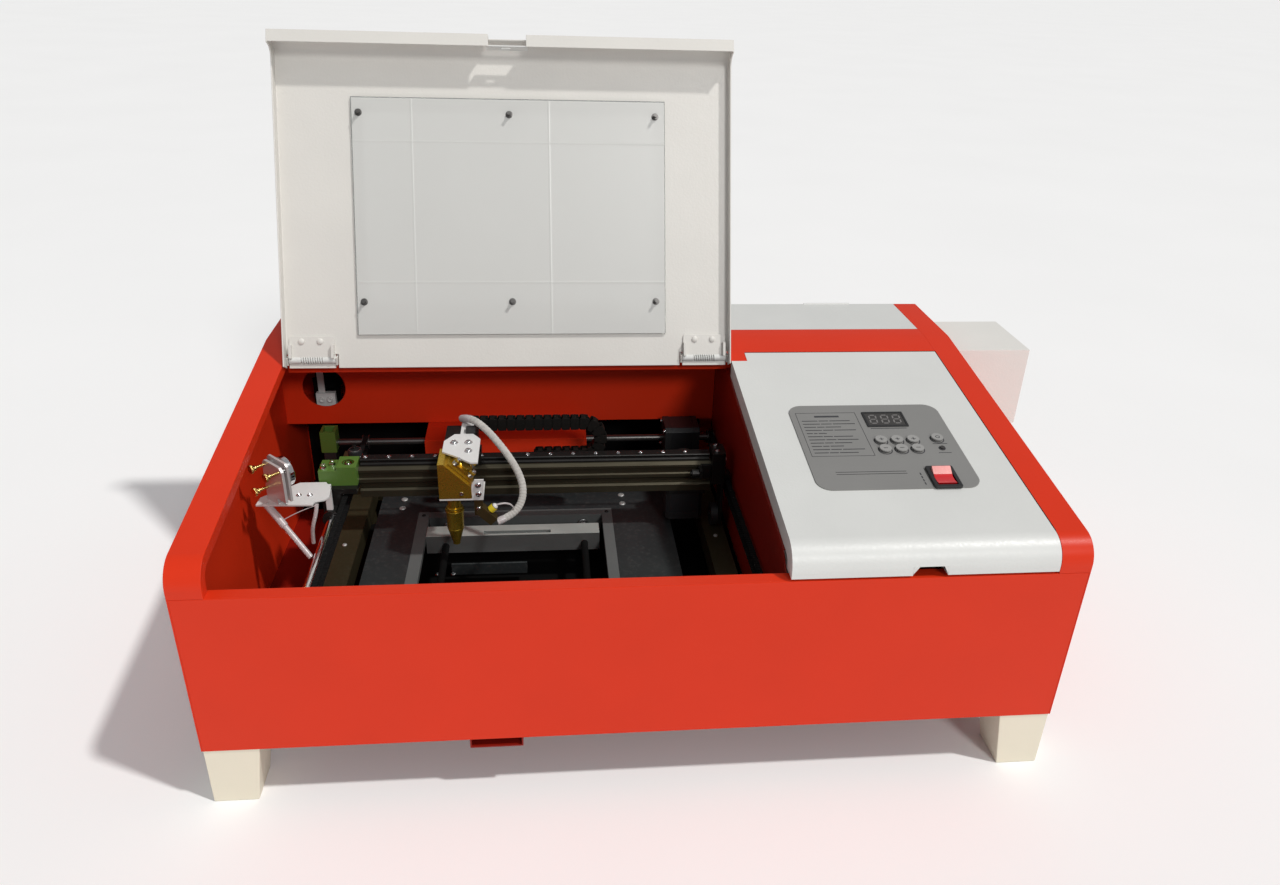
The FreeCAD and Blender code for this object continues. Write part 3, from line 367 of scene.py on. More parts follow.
class Piece:
    """A mesh under construction, in the millimetres of its place."""

    def __init__(self, name, body, finish, place=MACHINE):
        self.name, self.body, self.place = name, body, place
        self.mesh = bmesh.new()
        self.materials = [finish]
        self.index = 0

    def paint(self, finish):
        """Material of what is added next."""
        if finish not in self.materials:
            self.materials.append(finish)
        self.index = self.materials.index(finish)

    def points(self, rows, matrix=Matrix()):
        return [self.mesh.verts.new(matrix @ Vector(p)) for p in rows]

    def face(self, corners):
        made = self.mesh.faces.new(corners)
        made.material_index = self.index
        return made

    def bridge(self, first, second):
        for i, here in enumerate(first):
            after = (i + 1) % len(first)
            self.face((here, first[after], second[after], second[i]))

    def rings(self, rings, caps=(True, True)):
        """Skin over rings of points that have the same count."""
        for first, second in zip(rings, rings[1:]):
            self.bridge(first, second)
        if caps[0]:
            self.face(list(reversed(rings[0])))
        if caps[1]:
            self.face(rings[-1])

    def stack(self, layers, matrix):
        """Skin over outlines in X and Y of the matrix, each with its height along Z."""
        self.rings([self.points([(x, y, z) for x, y in outline], matrix) for outline, z in layers])

    def prism(self, outline, start, end, matrix=Matrix()):
        """Outline in X and Y of the matrix, from start to end along its Z."""
        self.stack([(outline, start), (outline, end)], matrix)

    def along(self, axis, outline, start, end):
        """Prism along an axis: outline holds (y, z) for X, (x, z) for Y and (x, y) for Z."""
        if axis == "Y":
            start, end = -end, -start
        self.prism(outline, start, end, TURNED[axis])

    def block(self, x, y, z, matrix=Matrix()):
        self.prism(rect(*x, *y), *z, matrix)

    def hollow(self, outer, inner, start, end, matrix=Matrix()):
        """Ring between two outlines of the same count."""
        rows = [self.points([(x, y, z) for x, y in outline], matrix)
                for outline, z in ((inner, start), (outer, start), (outer, end), (inner, end))]
        self.rings(rows + [rows[0]], (False, False))

    def lathe(self, base, direction, profile, sides=28):
        """Turned shape: profile holds (distance along, radius)."""
        self.stack([(circle(max(radius, 0.01), sides), along) for along, radius in profile],
                   standing(base, direction))

    def bar(self, start, end, radius, sides=24, chamfer=0.0):
        heading = Vector(end) - Vector(start)
        length = heading.length
        profile = [(0, radius), (length, radius)]
        if chamfer:
            profile = [(0, radius - chamfer), (chamfer, radius), (length - chamfer, radius),
                       (length, radius - chamfer)]
        self.lathe(start, heading, profile, sides)

    def knurl(self, base, direction, radius, length, teeth=30, depth=0.35):
        """Disc with a toothed rim."""
        outline = [(r * cos(a), r * sin(a)) for i in range(teeth * 2)
                   for r, a in [(radius - depth * (i % 2), pi * i / teeth)]]
        self.prism(outline, 0, length, standing(base, direction))

    def tube(self, line, radius, sides=12, closed_ends=True):
        """Round tube along points; radius may be a function of the point's and the side's index."""
        line = [Vector(p) for p in line]
        size = radius if callable(radius) else (lambda step, side: radius)
        heading = (line[1] - line[0]).normalized()
        across = heading.orthogonal().normalized()
        rings = []
        for step, point in enumerate(line):
            ahead_of = line[min(step + 1, len(line) - 1)] - line[max(step - 1, 0)]
            turn = heading.rotation_difference(ahead_of.normalized())
            across = turn @ across
            heading = ahead_of.normalized()
            above = heading.cross(across)
            ring = []
            for i in range(sides):
                angle = 2 * pi * i / sides
                ring.append(point + (cos(angle) * across + sin(angle) * above) * size(step, i))
            rings.append(self.points(ring))
        self.rings(rings, (closed_ends, closed_ends))

    def coil(self, start, end, radius, wire, turns, steps=14):
        """Coil spring."""
        heading = Vector(end) - Vector(start)
        matrix = standing(start, heading)
        count = int(turns * steps)
        line = [matrix @ Vector((radius * cos(2 * pi * i / steps),
                                 radius * sin(2 * pi * i / steps), heading.length * i / count))
                for i in range(count + 1)]
        self.tube(line, wire, 8)

    def socket_screw(self, base, direction, radius=3.0, height=2.0):
        """Round head with a hexagonal recess."""
        hexagon = []
        for x, y in circle(1.0, SCREW_SIDES):
            reach = radius * 0.5 / cos(atan2(y, x) % (pi / 3) - pi / 6)
            hexagon.append((x * reach, y * reach))
        layers = [(circle(radius * share, SCREW_SIDES), height * along)
                  for along, share in ((0, 1), (0.8, 1), (1, 0.88))]
        self.stack(layers + [(hexagon, height), (hexagon, height * 0.35)], standing(base, direction))

    def screw(self, base, direction, radius=3.0, height=1.8, turn=0.4):
        """Domed head with a cross recess."""
        cross = []
        for i in range(SCREW_SIDES):
            angle = 2 * pi * i / SCREW_SIDES
            reach = radius * (0.56 if abs(remainder(angle, pi / 2)) < 0.3 else 0.2)
            cross.append((reach * cos(angle + turn), reach * sin(angle + turn)))
        layers = [(circle(radius * share, SCREW_SIDES, turn), height * along)
                  for along, share in ((0, 1), (0.35, 0.98), (0.7, 0.85), (0.92, 0.66))]
        self.stack(layers + [(cross, 0.97 * height), (cross, 0.5 * height)], standing(base, direction))

    def done(self, bevel, slot, replaces=()):
        """The finished object, riding on its body."""
        bmesh.ops.recalc_face_normals(self.mesh, faces=self.mesh.faces)
        data = bpy.data.meshes.new(self.name)
        self.mesh.to_mesh(data)
        self.mesh.free()
        data.transform(self.place)
        for finish in self.materials:
            data.materials.append(finish)
        thing = bpy.data.objects.new(self.name, data)
        SCENE.collection.objects.link(thing)
        soften(thing, bevel)
        if replaces:
            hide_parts(*replaces)
        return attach(thing, self.body)


# ------ air hose

HOSE_ROUTE = [
    (222, 292, 252), (232, 279, 259), (247, 265, 255), (262, 250, 244), (276, 238, 229),
    (286, 228, 213), (289, 219, 198), (284, 211, 185), (272, 205, 177), (261, 201.5, 174),
]
HOSE_RADIUS = 4.0


def smooth_line(points, resolution):
    """Points along the NURBS curve that has these control points."""
    curve = bpy.data.curves.new("line", "CURVE")
    curve.dimensions = "3D"
    spline = curve.splines.new("NURBS")
    spline.points.add(len(points) - 1)
    for place, point in zip(spline.points, points):
        place.co = (*point, 1.0)
    spline.order_u = 3
    spline.use_endpoint_u = True
    spline.resolution_u = resolution
    holder = bpy.data.objects.new("line", curve)
    mesh = bpy.data.meshes.new_from_object(holder)
    line = [v.co.copy() for v in mesh.vertices]
    bpy.data.meshes.remove(mesh)
    bpy.data.objects.remove(holder)
    return line


def air_hose():
    """Braided sleeve over the air hose, with a collar at each end."""
    line = smooth_line(HOSE_ROUTE, 34)
    sides = 48
    strands = 12

    def weave(step, side_index):
        around = 2 * pi * side_index / sides
        twist = step * 0.42
        over = sin(strands * around + twist) * sin(strands * around - twist)
        return HOSE_RADIUS - 0.25 + 0.22 * over

    hose = Piece("air_hose_sleeve", "head", SLEEVE)
    hose.tube(line, weave, sides)
    hose = hose.done(0, "hose_sleeve", ["air_hose"])
    collars = Piece("air_hose_collars", "head", CLEAR_TUBE)
    collars.tube(line[:24], lambda step, i: HOSE_RADIUS + 0.35 - 0.02 * abs(step - 12), 24)
    collars.tube(line[-16:], lambda step, i: HOSE_RADIUS + 0.3 - 0.03 * abs(step - 8), 24)
    collars = collars.done(0, "hose_sleeve")


air_hose()

# ------ CAD nodes


def finish_nodes():
    """Materials and softened edges for the CAD nodes that stay in view."""
    finishes = {name: finish for finish, names in NODE_FINISH.items() for name in names}
    finishes["x_belt"] = belt_material("x_belt_teeth", "X")
    finishes["y_belts"] = belt_material("y_belt_teeth", "Y")
    wide = {"feet": 1.2, "main_lid": 0.55, "control_lid": 0.55, "side_panel_left": 0.6, "side_panel_right": 0.6,
            "front_panel": 0.6, "tube_extension": 0.6, "tube_cover": 0.4, "rear_deck": 0.5}
    for name, finish in finishes.items():
        thing = NODES[name]
        thing.data.materials.clear()
        thing.data.materials.append(finish)
        normals = thing.data.attributes.get("custom_normal")
        if normals:
            thing.data.attributes.remove(normals)
        if name != "panel_plate":
            soften(thing, wide.get(name, 0.25), weld=True)


finish_nodes()

# ------ lid


LID_REAR = up(344.5)


def lid_details():
    """Hinges with their springs, the window's bolts and film, and the bracket at the notch."""

    def axis(x):
        return (x, HINGE.y, HINGE.z)

    hinges = Piece("lid_hinge_springs", "lid", WHITE, LID)
    for left in (35, 469):
        mid = left + 25
        hinges.bar(axis(left), axis(mid - 12), 4.4, chamfer=0.5)
        hinges.bar(axis(mid + 12), axis(left + 50), 4.4, chamfer=0.5)
        hinges.bar(axis(mid - 12), axis(mid + 12), 2.6)
        hinges.coil(axis(mid - 12.5), axis(mid + 12.5), 3.8, 0.95, 10)
    hinges.done(0.2, "white_sheet", ["lid_hinges"])

    # The hinge leaves take the lid's white with its painted warm reflection.
    leaves = Piece("lid_hinge_leaves", "lid", REFLECTED_WARM_WHITE, LID_SLOPE)
    for left in (35, 469):
        plate = rounded_rect(left + 1, left + 49, 313, 336, 2.5)
        leaves.prism(plate, -3.4, -1.6)
        for ear in (left + 1, left + 46):
            leaves.block((ear, ear + 3), (322, 337), (-8.6, -3))
        for x in (left + 14, left + 34):
            leaves.lathe((x, 318.5, -3.3), DOWN, [(0, 3.6), (0.8, 3.5), (1.5, 2.7), (1.9, 1.4), (2.0, 0)])
    for left in (35.2, 469.2):
        for low, high in ((329.6, 334.2), (337.8, 344.4)):
            leaves.block((left, left + 49.6), (up(low), up(high)), (-1.5, 0))
    leaves.done(0.25, "white_sheet")

    # The ear covers take the lid's white with its painted warm reflection.
    ears = Piece("hinge_ear_covers", "casing", REFLECTED_WARM_WHITE)
    for left in (33, 85.5, 467, 519.5):
        ears.block((left - 0.25, left + 1.75), (331.7, 345.4), (299.7, 308.25))
    ears.done(0.2, "white_sheet")

    bolts = Piece("window_bolts", "lid", DARK_STEEL, LID_SLOPE)
    for x, along in product((118, 279, 439), (72, 274)):
        y = LID_REAR - along
        bolts.lathe((x, y, -4.5), DOWN, [(0, 3.9), (0.6, 3.9), (0.7, 3.4)])
        bolts.prism(circle(3.0, 6, x * 0.1), -7.6, -5.2, Matrix.Translation((x, y, 0)))
        bolts.lathe((x, y, -7.6), DOWN, [(i * 0.45, 1.75 - 0.25 * (i % 2)) for i in range(13)], 14)
        bolts.screw((x, y, 0.05), UP, 3.6, 1.6)
    bolts.done(0, "steel")

    film = Piece("window_film", "lid", FILM, LID_SLOPE)
    creases_x = (174, 322)
    creases_y = (103.5, 254.5)

    def lines(start, end, creases):
        count = int((end - start) / 9)
        marks = {start + (end - start) * i / count for i in range(count)} | {end}
        marks.update(c + d for c in creases for d in (-2.2, -1.1, -0.55, 0, 0.55, 1.1, 2.2))
        return sorted(marks)

    def height(x, y):
        offsets = [x - c for c in creases_x] + [y - c for c in creases_y]
        ridge = sum(0.20 * exp(-(offset / 0.9) ** 2) for offset in offsets)
        return -4.85 - ridge - 0.03 * sin(x / 37 + 1) * sin(y / 29)

    columns, rows = lines(111.0, 449.0, creases_x), lines(up(57.6), up(308.4), creases_y)
    front = [film.points([(x, y, height(x, y)) for x in columns]) for y in rows]
    back = [film.points([(x, y, height(x, y) + 0.1) for x in columns]) for y in rows]
    for j, i, sheet in product(range(len(rows) - 1), range(len(columns) - 1), (front, back)):
        film.face((sheet[j][i], sheet[j][i + 1], sheet[j + 1][i + 1], sheet[j + 1][i]))
    rim = [[row[0] for row in s] + s[-1][1:] + [row[-1] for row in reversed(s[:-1])] + s[0][-2:0:-1]
           for s in (front, back)]
    film.bridge(rim[0], rim[1])
    film.done(0, "clear_window")

    bracket = Piece("lid_notch_bracket", "lid", WHITE, LID)
    bracket.hollow(rect(257, 301, 231.6, 241.5), rect(273, 283, 235, 238), 11.4, 12.6, FLIPPED)
    bracket.done(0.2, "white_sheet")


lid_details()

# ------ control panel

LEVEL_BARS = ((0, 1), (0, -1), (0, 0))
UPRIGHT_BARS = ((0.5, 0.5), (0.5, -0.5), (-0.5, -0.5), (-0.5, 0.5))


def body_of(name):
    """Body that a CAD node rides on."""
    return next(body for body, members in frame["record"]["behaviour"]["bodies"].items() if name in members)


def panel_details():
    """Print, display digits, button rings and marks, lid seam, notch corners and switch bezel."""
    prints = Piece("panel_print_bars", "control_cover", PRINT, SLOPE)
    low, high = 1.15, 1.32

    def bar(left, right, y, tall):
        prints.block((left, right), (up(y) - tall / 2, up(y) + tall / 2), (low, high))

    prints.hollow(rect(573, 637, up(139), up(216)), rect(573.5, 636.5, up(139.5), up(215.5)), low, high)
    bar(592, 618, 209, 3.0)
    lengths = (52, 56, 40, 54, 22, 48, 52, 44, 34, 54, 46)
    for row, length in enumerate(lengths):
        y = 201 - row * 5.6
        left = 577
        for share in (0.34, 0.22, 0.44):
            word = length * share
            bar(left, left + word - 1.3, y, 1.15)
            left += word
    captions = ((646, 684, 186, 0.9), (702, 717, 157.5, 0.8), (703, 716, 142, 0.8), (672, 673.2, 93, 3.6),
                (672, 673.2, 98, 3.6), (672, 673.2, 103, 3.6), (672, 673.2, 108, 3.6), (590, 660, 113, 0.7),
                (590, 660, 109.5, 0.7))
    for caption in captions:
        bar(*caption)
    prints.done(0, "grey_plastic")

    digits = Piece("display_digits", "control_cover", SEGMENT, SLOPE)
    mid_y = (up(190) + up(214)) / 2
    for place in (-12.6, 0, 12.6):
        for dx, dy in LEVEL_BARS + UPRIGHT_BARS:
            long, thin = 2.9, 0.75
            x, y = 665.5 + place + dx * 7.0, mid_y + dy * 7.4
            shape = [(-long, 0), (-long + thin, -thin), (long - thin, -thin), (long, 0),
                     (long - thin, thin), (-long + thin, thin)]
            if (dx, dy) in UPRIGHT_BARS:
                shape = [(-b, a) for a, b in shape]
            slant = 0.08
            digits.prism([(x + a + (y + b - mid_y) * slant, y + b) for a, b in shape], 1.78, 1.95)
    digits.done(0, "display_black")
    frame_ring = Piece("display_frame", "control_cover", BLACK, SLOPE)
    frame_ring.hollow(rounded_rect(643.6, 687.4, up(188.6), up(215.4), 0.8),
                      rounded_rect(645.8, 685.2, up(190.8), up(213.2), 0.4), 1.1, 2.3)
    frame_ring.done(0.2, "black_plastic")

    rings = Piece("button_rings", "control_cover", PRINT, SLOPE)
    for name in BUTTONS:
        corner, far = (SLOPE.inverted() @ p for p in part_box(name))
        x, y = (corner.x + far.x) / 2, (corner.y + far.y) / 2
        rings.hollow(circle(7.3, 32), circle(6.15, 32), 1.1, 1.25, Matrix.Translation((x, y, 0)))
        mark = Piece(name.replace("_button", "_mark"), body_of(name), PRINT, SLOPE)
        strokes = ((4.4, 0.8),) if "down" in name else ((4.4, 0.8), (0.8, 4.4))
        if name.startswith("laser"):
            mark.hollow(circle(2.3, 24), circle(1.6, 24), 4.15, 4.3, Matrix.Translation((x, y, 0)))
        else:
            for wide, tall in strokes:
                mark.block((x - wide / 2, x + wide / 2), (y - tall / 2, y + tall / 2), (4.15, 4.3))
        mark.done(0, "button_plastic")
    rings.hollow(circle(3.4, 24), circle(2.5, 24), 1.1, 1.9, Matrix.Translation((709, up(149.4), 0)))
    rings.done(0, "grey_plastic")

    # Painted shade: a near-black strip for the dark gap between the cover and the casing.
    seam = Piece("control_cover_seam", "casing", SHADE_BLACK, SLOPE)
    seam.block((769.65, 770.5), (up(22), up(345.5)), (-0.3, 0.12))
    seam.block((543, 769.65), (up(344.6), up(345.5)), (-0.3, 0.12))
    seam.done(0, "black_board")

    corners = Piece("grip_notch_corners", "control_cover", WHITE)
    corners.along("Y", [(633.8, 241.2), (639.2, 241.2), (633.8, 233)], 0, 1.5)
    corners.along("Y", [(666.2, 241.2), (666.2, 233), (661.6, 241.2)], 0, 1.5)
    corners.done(0, "white_sheet")

    bezel = Piece("rocker_bezel", "control_cover", BLACK, SLOPE)
    outer, inner = (679.4, 706.6, up(84.4), up(117.6)), (683, 703, up(88), up(114))
    bezel.hollow(rounded_rect(*outer, 2.0), rounded_rect(*inner, 0.6), 1.0, 3.9)
    bezel.done(0.5, "black_plastic")


def rocker():
    """Switch rocker: a half with a painted highlight and a plain half, each hollowed a little."""
    mid = up(101)
    piece = Piece("rocker_cap", "rocker", ROCKER, SLOPE)

    plain = [(-11.4, 4.3), (-8.5, 3.3), (-5, 2.75), (-1, 2.6), (1, 2.9), (3.0, 3.9), (3.0, -4), (-9.5, -5.8)]
    # The far half carries the painted highlight.
    highlight_half = [(3.1, 3.9), (7.4, 5.9), (11.2, 7.7), (9.6, -5.8), (3.1, -4)]
    for profile, finish in ((plain, ROCKER), (highlight_half, ROCKER_HIGHLIGHT)):
        piece.paint(finish)
        piece.along("X", [(mid + s, z) for s, z in profile], 683.7, 702.3)
    piece.done(0.35, "rocker_red", ["rocker_switch"])


panel_details()
rocker()

# ------ gantry


RAIL_PITCH = 25
MOUNT_SCREWS = ((-13, 242), (13, 242), (-13, 216))


def gantry_details():
    """Beam, rail with its screws, carriage screws, belt knob, end roller and mirror bracket."""
    beam = Piece("gantry_extrusion", "gantry", BROWN)
    half = [(10, 174), (10, 182), (8, 184), (5.5, 184), (5.5, 190), (8, 190), (10, 192), (10, 196),
            (8.6, 197), (8.6, 203), (10, 204), (10, 207), (7, 210)]
    section = [(269 - a, z) for a, z in half] + [(269 + a, z) for a, z in reversed(half)]
    section += [(275, 174), (275, 178), (263, 178), (263, 174)]
    beam.along("X", section, 111, 497)
    beam.paint(BLACK_METAL)
    rail = [(263.5, 210), (263.5, 212), (265, 213.4), (265, 215.6), (263.5, 217), (264.2, 218), (274.8, 218),
            (275.5, 217), (274, 215.6), (274, 213.4), (275.5, 212), (275.5, 210)]
    beam.along("X", rail, 113, 495)
    beam.paint(CHROME)
    for x in range(118, 469, RAIL_PITCH):
        beam.socket_screw((x, 269.5, 217.9), UP, 2.7, 1.1)
    beam.done(0.2, "dark_anodised", ["gantry_beam"])

    screws = Piece("carriage_screws", "gantry", CHROME)
    screws.screw((76, 256, 212), UP, 3.5, 5.6)
    screws.screw((84, 264, 212), UP, 3.5, 5.6, 1.1)
    screws.socket_screw((101, 262, 211.9), UP, 4.3, 4.2)
    screws.hollow(circle(6.4, 32), circle(5.9, 32), 215.6, 216.2, Matrix.Translation((101, 262, 0)))
    for x, y in ((56.5, 220.4), (67.7, 220.2)):
        screws.screw((x, y, 199.9), UP, 3.1, 1.6)
    for y in (261, 275):
        screws.socket_screw((512, y, 212), RIGHT, 2.6, 2.0)
        screws.socket_screw((503, y, 221.9), UP, 2.6, 2.0)
    screws.done(0, "steel")

    knob = Piece("belt_tension_knob", "idler_wheel", CHROME)
    knob.lathe((104, 287.5, 208.8), UP, [(0, 7.6), (0.4, 8.0), (2.6, 8.0), (3.0, 7.6)], 40)
    knob.paint(BLACK)
    knob.knurl((104, 287.5, 211.8), UP, 7.6, 6.0, 24, 0.5)
    knob.lathe((104, 287.5, 217.8), UP, [(0, 7.0), (0.9, 6.6), (1.2, 5.8)], 32)
    knob.done(0.15, "steel")

    roller = Piece("beam_end_roller", "gantry", BLACK_METAL)
    roller.lathe((473.5, 250.5, 200.5), RIGHT, [(0, 4.2), (0.5, 4.7), (8, 4.7), (8.5, 4.2)])
    roller.lathe((472.2, 250.5, 200.5), RIGHT, [(0, 2.6), (1.5, 2.6)])
    roller.block((482.2, 485), (246, 259.2), (196, 206))
    roller.block((485, 496.5), (255.5, 259.2), (192, 208))
    roller.done(0.3, "steel")

    plate = Piece("mirror_bracket_plate", "gantry", WHITE_PLATE)
    plate.along("Z", [(17, 203), (74, 201), (75, 208), (84, 211), (88, 217), (86, 236), (79, 248), (52, 248),
                      (18, 218)], 198, 200)
    plate.block((74, 84), (242, 247), (194, 198.1))
    plate.block((80, 86.5), (231.2, 235), (175, 198.1))
    plate.paint(CLEAR_TUBE)
    strut_top, strut_end = Vector((26, 208, 198)), Vector((72, 176, 152))
    plate.lathe(strut_top, strut_end - strut_top, [(0, 3.2), (0.5, 4.0), (30, 3.9), (31, 2.9), (72.6, 2.9)], 24)
    plate.tube(smooth_line([(77, 206, 198), (76, 203, 189), (72, 202, 177), (69, 204, 165), (68, 207, 150)], 12),
               2.1, 16)
    plate.tube(smooth_line([(44, 199, 184), (58, 199, 193), (76, 204, 197)], 10), 0.5, 8)
    plate.done(0.3, "white_plate", ["mirror_bracket"])


def mirror_mount():
    """Mirror in a thick ring on a plate, sprung from a back plate by three thumb screws."""
    mount = Piece("gantry_mirror_mount", "gantry", PALE_METAL, MIRROR)
    plate = [(-17.5, 208), (17.5, 208), (17.5, 243), (13.5, 247), (-13.5, 247), (-17.5, 243)]
    mount.along("Y", plate, -16, -13)
    mount.along("Y", [(-17.5, 208), (17.5, 208), (17.5, 247), (14.5, 250), (-14.5, 250), (-17.5, 247)], -10, -7.4)
    mount.block((-17.5, 1.5), (-16, -13), (200, 208.1))
    mount.block((-17.5, 1.5), (-13.1, -4), (199.9, 202))
    mount.paint(CHROME)
    mount.lathe((0, -7.5, 234), BACK, [(0, 14.2), (0.6, 14.8), (1.8, 14.8), (2.2, 15.7), (6.6, 15.9),
                                          (7.5, 15.2), (7.5, 12.6), (5.6, 12.2), (5.6, 10.4)], 48)
    mount.paint(STEEL)
    for along, height in MOUNT_SCREWS:
        mount.coil((along, -13, height), (along, -10, height), 2.6, 0.45, 3)
    mount.paint(BRASS)
    for along, height in MOUNT_SCREWS:
        mount.lathe((along, -31, height), BACK, [(i * 0.6, 1.6 - 0.22 * (i % 2)) for i in range(36)], 12)
        mount.knurl((along, -32, height), BACK, 4.6, 2.2, 22, 0.4)
        mount.lathe((along, -29.8, height), BACK, [(0, 2.6), (1.6, 2.4), (2.6, 3.1), (3.4, 3.1), (3.6, 2.2)])
    mount.done(0.25, "mirror_metal", ["gantry_mirror"])


gantry_details()
mirror_mount()

# ------ head


def head_details():
    """Screws, mirror disc, adjusters, nozzle rings and pointer leads of the laser head."""
    head = Piece("head_fittings", "head", GOLD)
    disc = Vector((227.4, 214, 237.4))
    head.lathe(disc, SLANT, [(0, 10.4), (0.6, 10.8), (2.4, 10.8), (3.0, 10.2), (3.0, 7.4), (1.6, 7.0)], 40)
    head.paint(STEEL)
    for a, y in ((-6, 203), (8, 203), (8, 225)):
        base = Vector((225 + a, y, 236 - a))
        head.coil(base + SLANT * 1.2, base + SLANT * 5.2, 2.7, 0.5, 3.2)
        head.paint(GOLD)
        head.knurl(base + SLANT * 5.2, SLANT, 3.3, 2.6, 18, 0.35)
        head.paint(CHROME)
        head.socket_screw(base + SLANT * 7.8, SLANT, 2.3, 2.2)
        head.paint(STEEL)
    head.paint(GOLD)
    head.lathe((216, 214, 185.3), UP, [(0, 8.1), (0.3, 8.5), (1.5, 8.5), (1.9, 8.1)], 36)
    head.lathe((216, 214, 181.6), UP, [(0, 9.6), (0.3, 9.95), (1.8, 9.95), (2.2, 9.6)], 36)
    head.lathe((216, 214, 160.6), UP, [(0, 8.6), (0.25, 8.85), (0.9, 8.85), (1.2, 8.6)], 36)
    head.paint(CHROME)
    for x, y, turn in ((217, 241, 0.3), (232, 241, 0.9), (233, 222, 0.1)):
        head.lathe((x, y, 247.9), UP, [(0, 4.4), (0.5, 4.4), (0.55, 3.9)])
        head.screw((x, y, 248.4), UP, 3.6, 2.4, turn)
    for z, turn in ((222, 0.2), (211.5, 0.8)):
        head.screw((243.2, 196.1, z), FRONT, 3.4, 2.2, turn)
    head.socket_screw((226, 196.1, 212), FRONT, 2.2, 1.0)
    head.screw((242.6, 199.2, 192), FRONT, 3.0, 2.2)
    head.paint(BLACK)
    head.block((228, 238), (262, 272), (248, 253))
    head.done(0.12, "gold")

    pointer = Piece("pointer_cap", "head", YELLOW)
    base = Vector((254.6, 202, 188.6))
    pointer.lathe(base, SLANT, [(0, 4.15), (0.4, 4.3), (5.4, 4.3), (5.8, 4.0)])
    pointer.paint(WHITE_PLATE)
    pointer.lathe(base + SLANT * 5.6, SLANT, [(0, 3.4), (1.6, 3.2), (2.8, 2.2), (3.2, 0.8)])
    pointer.paint(CLEAR_TUBE)
    end = base + SLANT * 8.4
    for shift in (-0.8, 0.8):
        route = [end + Vector((0, shift, 0)), end + Vector((5, shift, 1.5)), end + Vector((11, 2 + shift, 0.5)),
                 end + Vector((17, 4 + shift, -3.5)), Vector((279, 208 + shift * 0.5, 183.5))]
        pointer.tube(smooth_line(route, 10), 0.55, 10)
    pointer.done(0, "gold")


def drag_chain():
    """Cable chain: one link after another round its path."""
    straight, radius, tail, pitch = 125.0, 20.0, 55.0, 10.1
    chain = Piece("cable_chain_links", "gantry", CHAIN_BLACK)
    bend = pi * radius
    count = int((straight + bend + tail) / pitch)
    for link in range(count):
        s = (link + 0.5) * pitch
        if s < straight:
            centre, heading = Vector((230 + s, 0, 240.5)), 0.0
        elif s < straight + bend:
            heading = (s - straight) / radius
            centre = Vector((355 + radius * sin(heading), 0, 220.5 + radius * cos(heading)))
        else:
            centre, heading = Vector((355 - (s - straight - bend), 0, 200.5)), pi
        matrix = Matrix.Translation(centre) @ Matrix.Rotation(heading, 4, "Y")
        for y, outward in ((297.2, FRONT), (307.3, BACK)):
            outline = rounded_rect(-5.2, 4.4, -6.9, 6.9, 1.3, 3)
            chain.prism(outline, y, y + 1.5, matrix @ FLIPPED)
            start = y - 1.25 * outward[1]
            chain.prism(rounded_rect(1.0, 6.2, -5.2, 5.2, 2.2, 3), start, start + 1.5, matrix @ FLIPPED)
            pin = Vector((2.6, y + max(0, 1.5 * outward[1]), 0))
            chain.lathe(matrix @ pin, outward, [(0, 2.0), (0.15, 1.8)], 14)
        for z in (-7.3, 5.9):
            chain.block((-3.6, 1.6), (297.6, 308.4), (z, z + 1.4), matrix)
    chain.paint(RUBBER)
    wires = [(231, 303, 240), (290, 303, 239), (350, 303, 240), (368, 303, 233), (375, 303, 220), (368, 303, 207),
             (350, 303, 201), (320, 303, 200.5), (301, 303, 200.5)]
    for shift in (-2.6, 0.2, 2.8):
        chain.tube([p + Vector((0, shift, 0)) for p in smooth_line(wires, 8)], 1.3, 8)
    chain.done(0.2, "black_plastic", ["drag_chain"])


head_details()
drag_chain()

# ------ bed and drive


BED_FACE = 124.9
JAW_RODS = (200, 355)
MOTOR_SCREW = 15.5


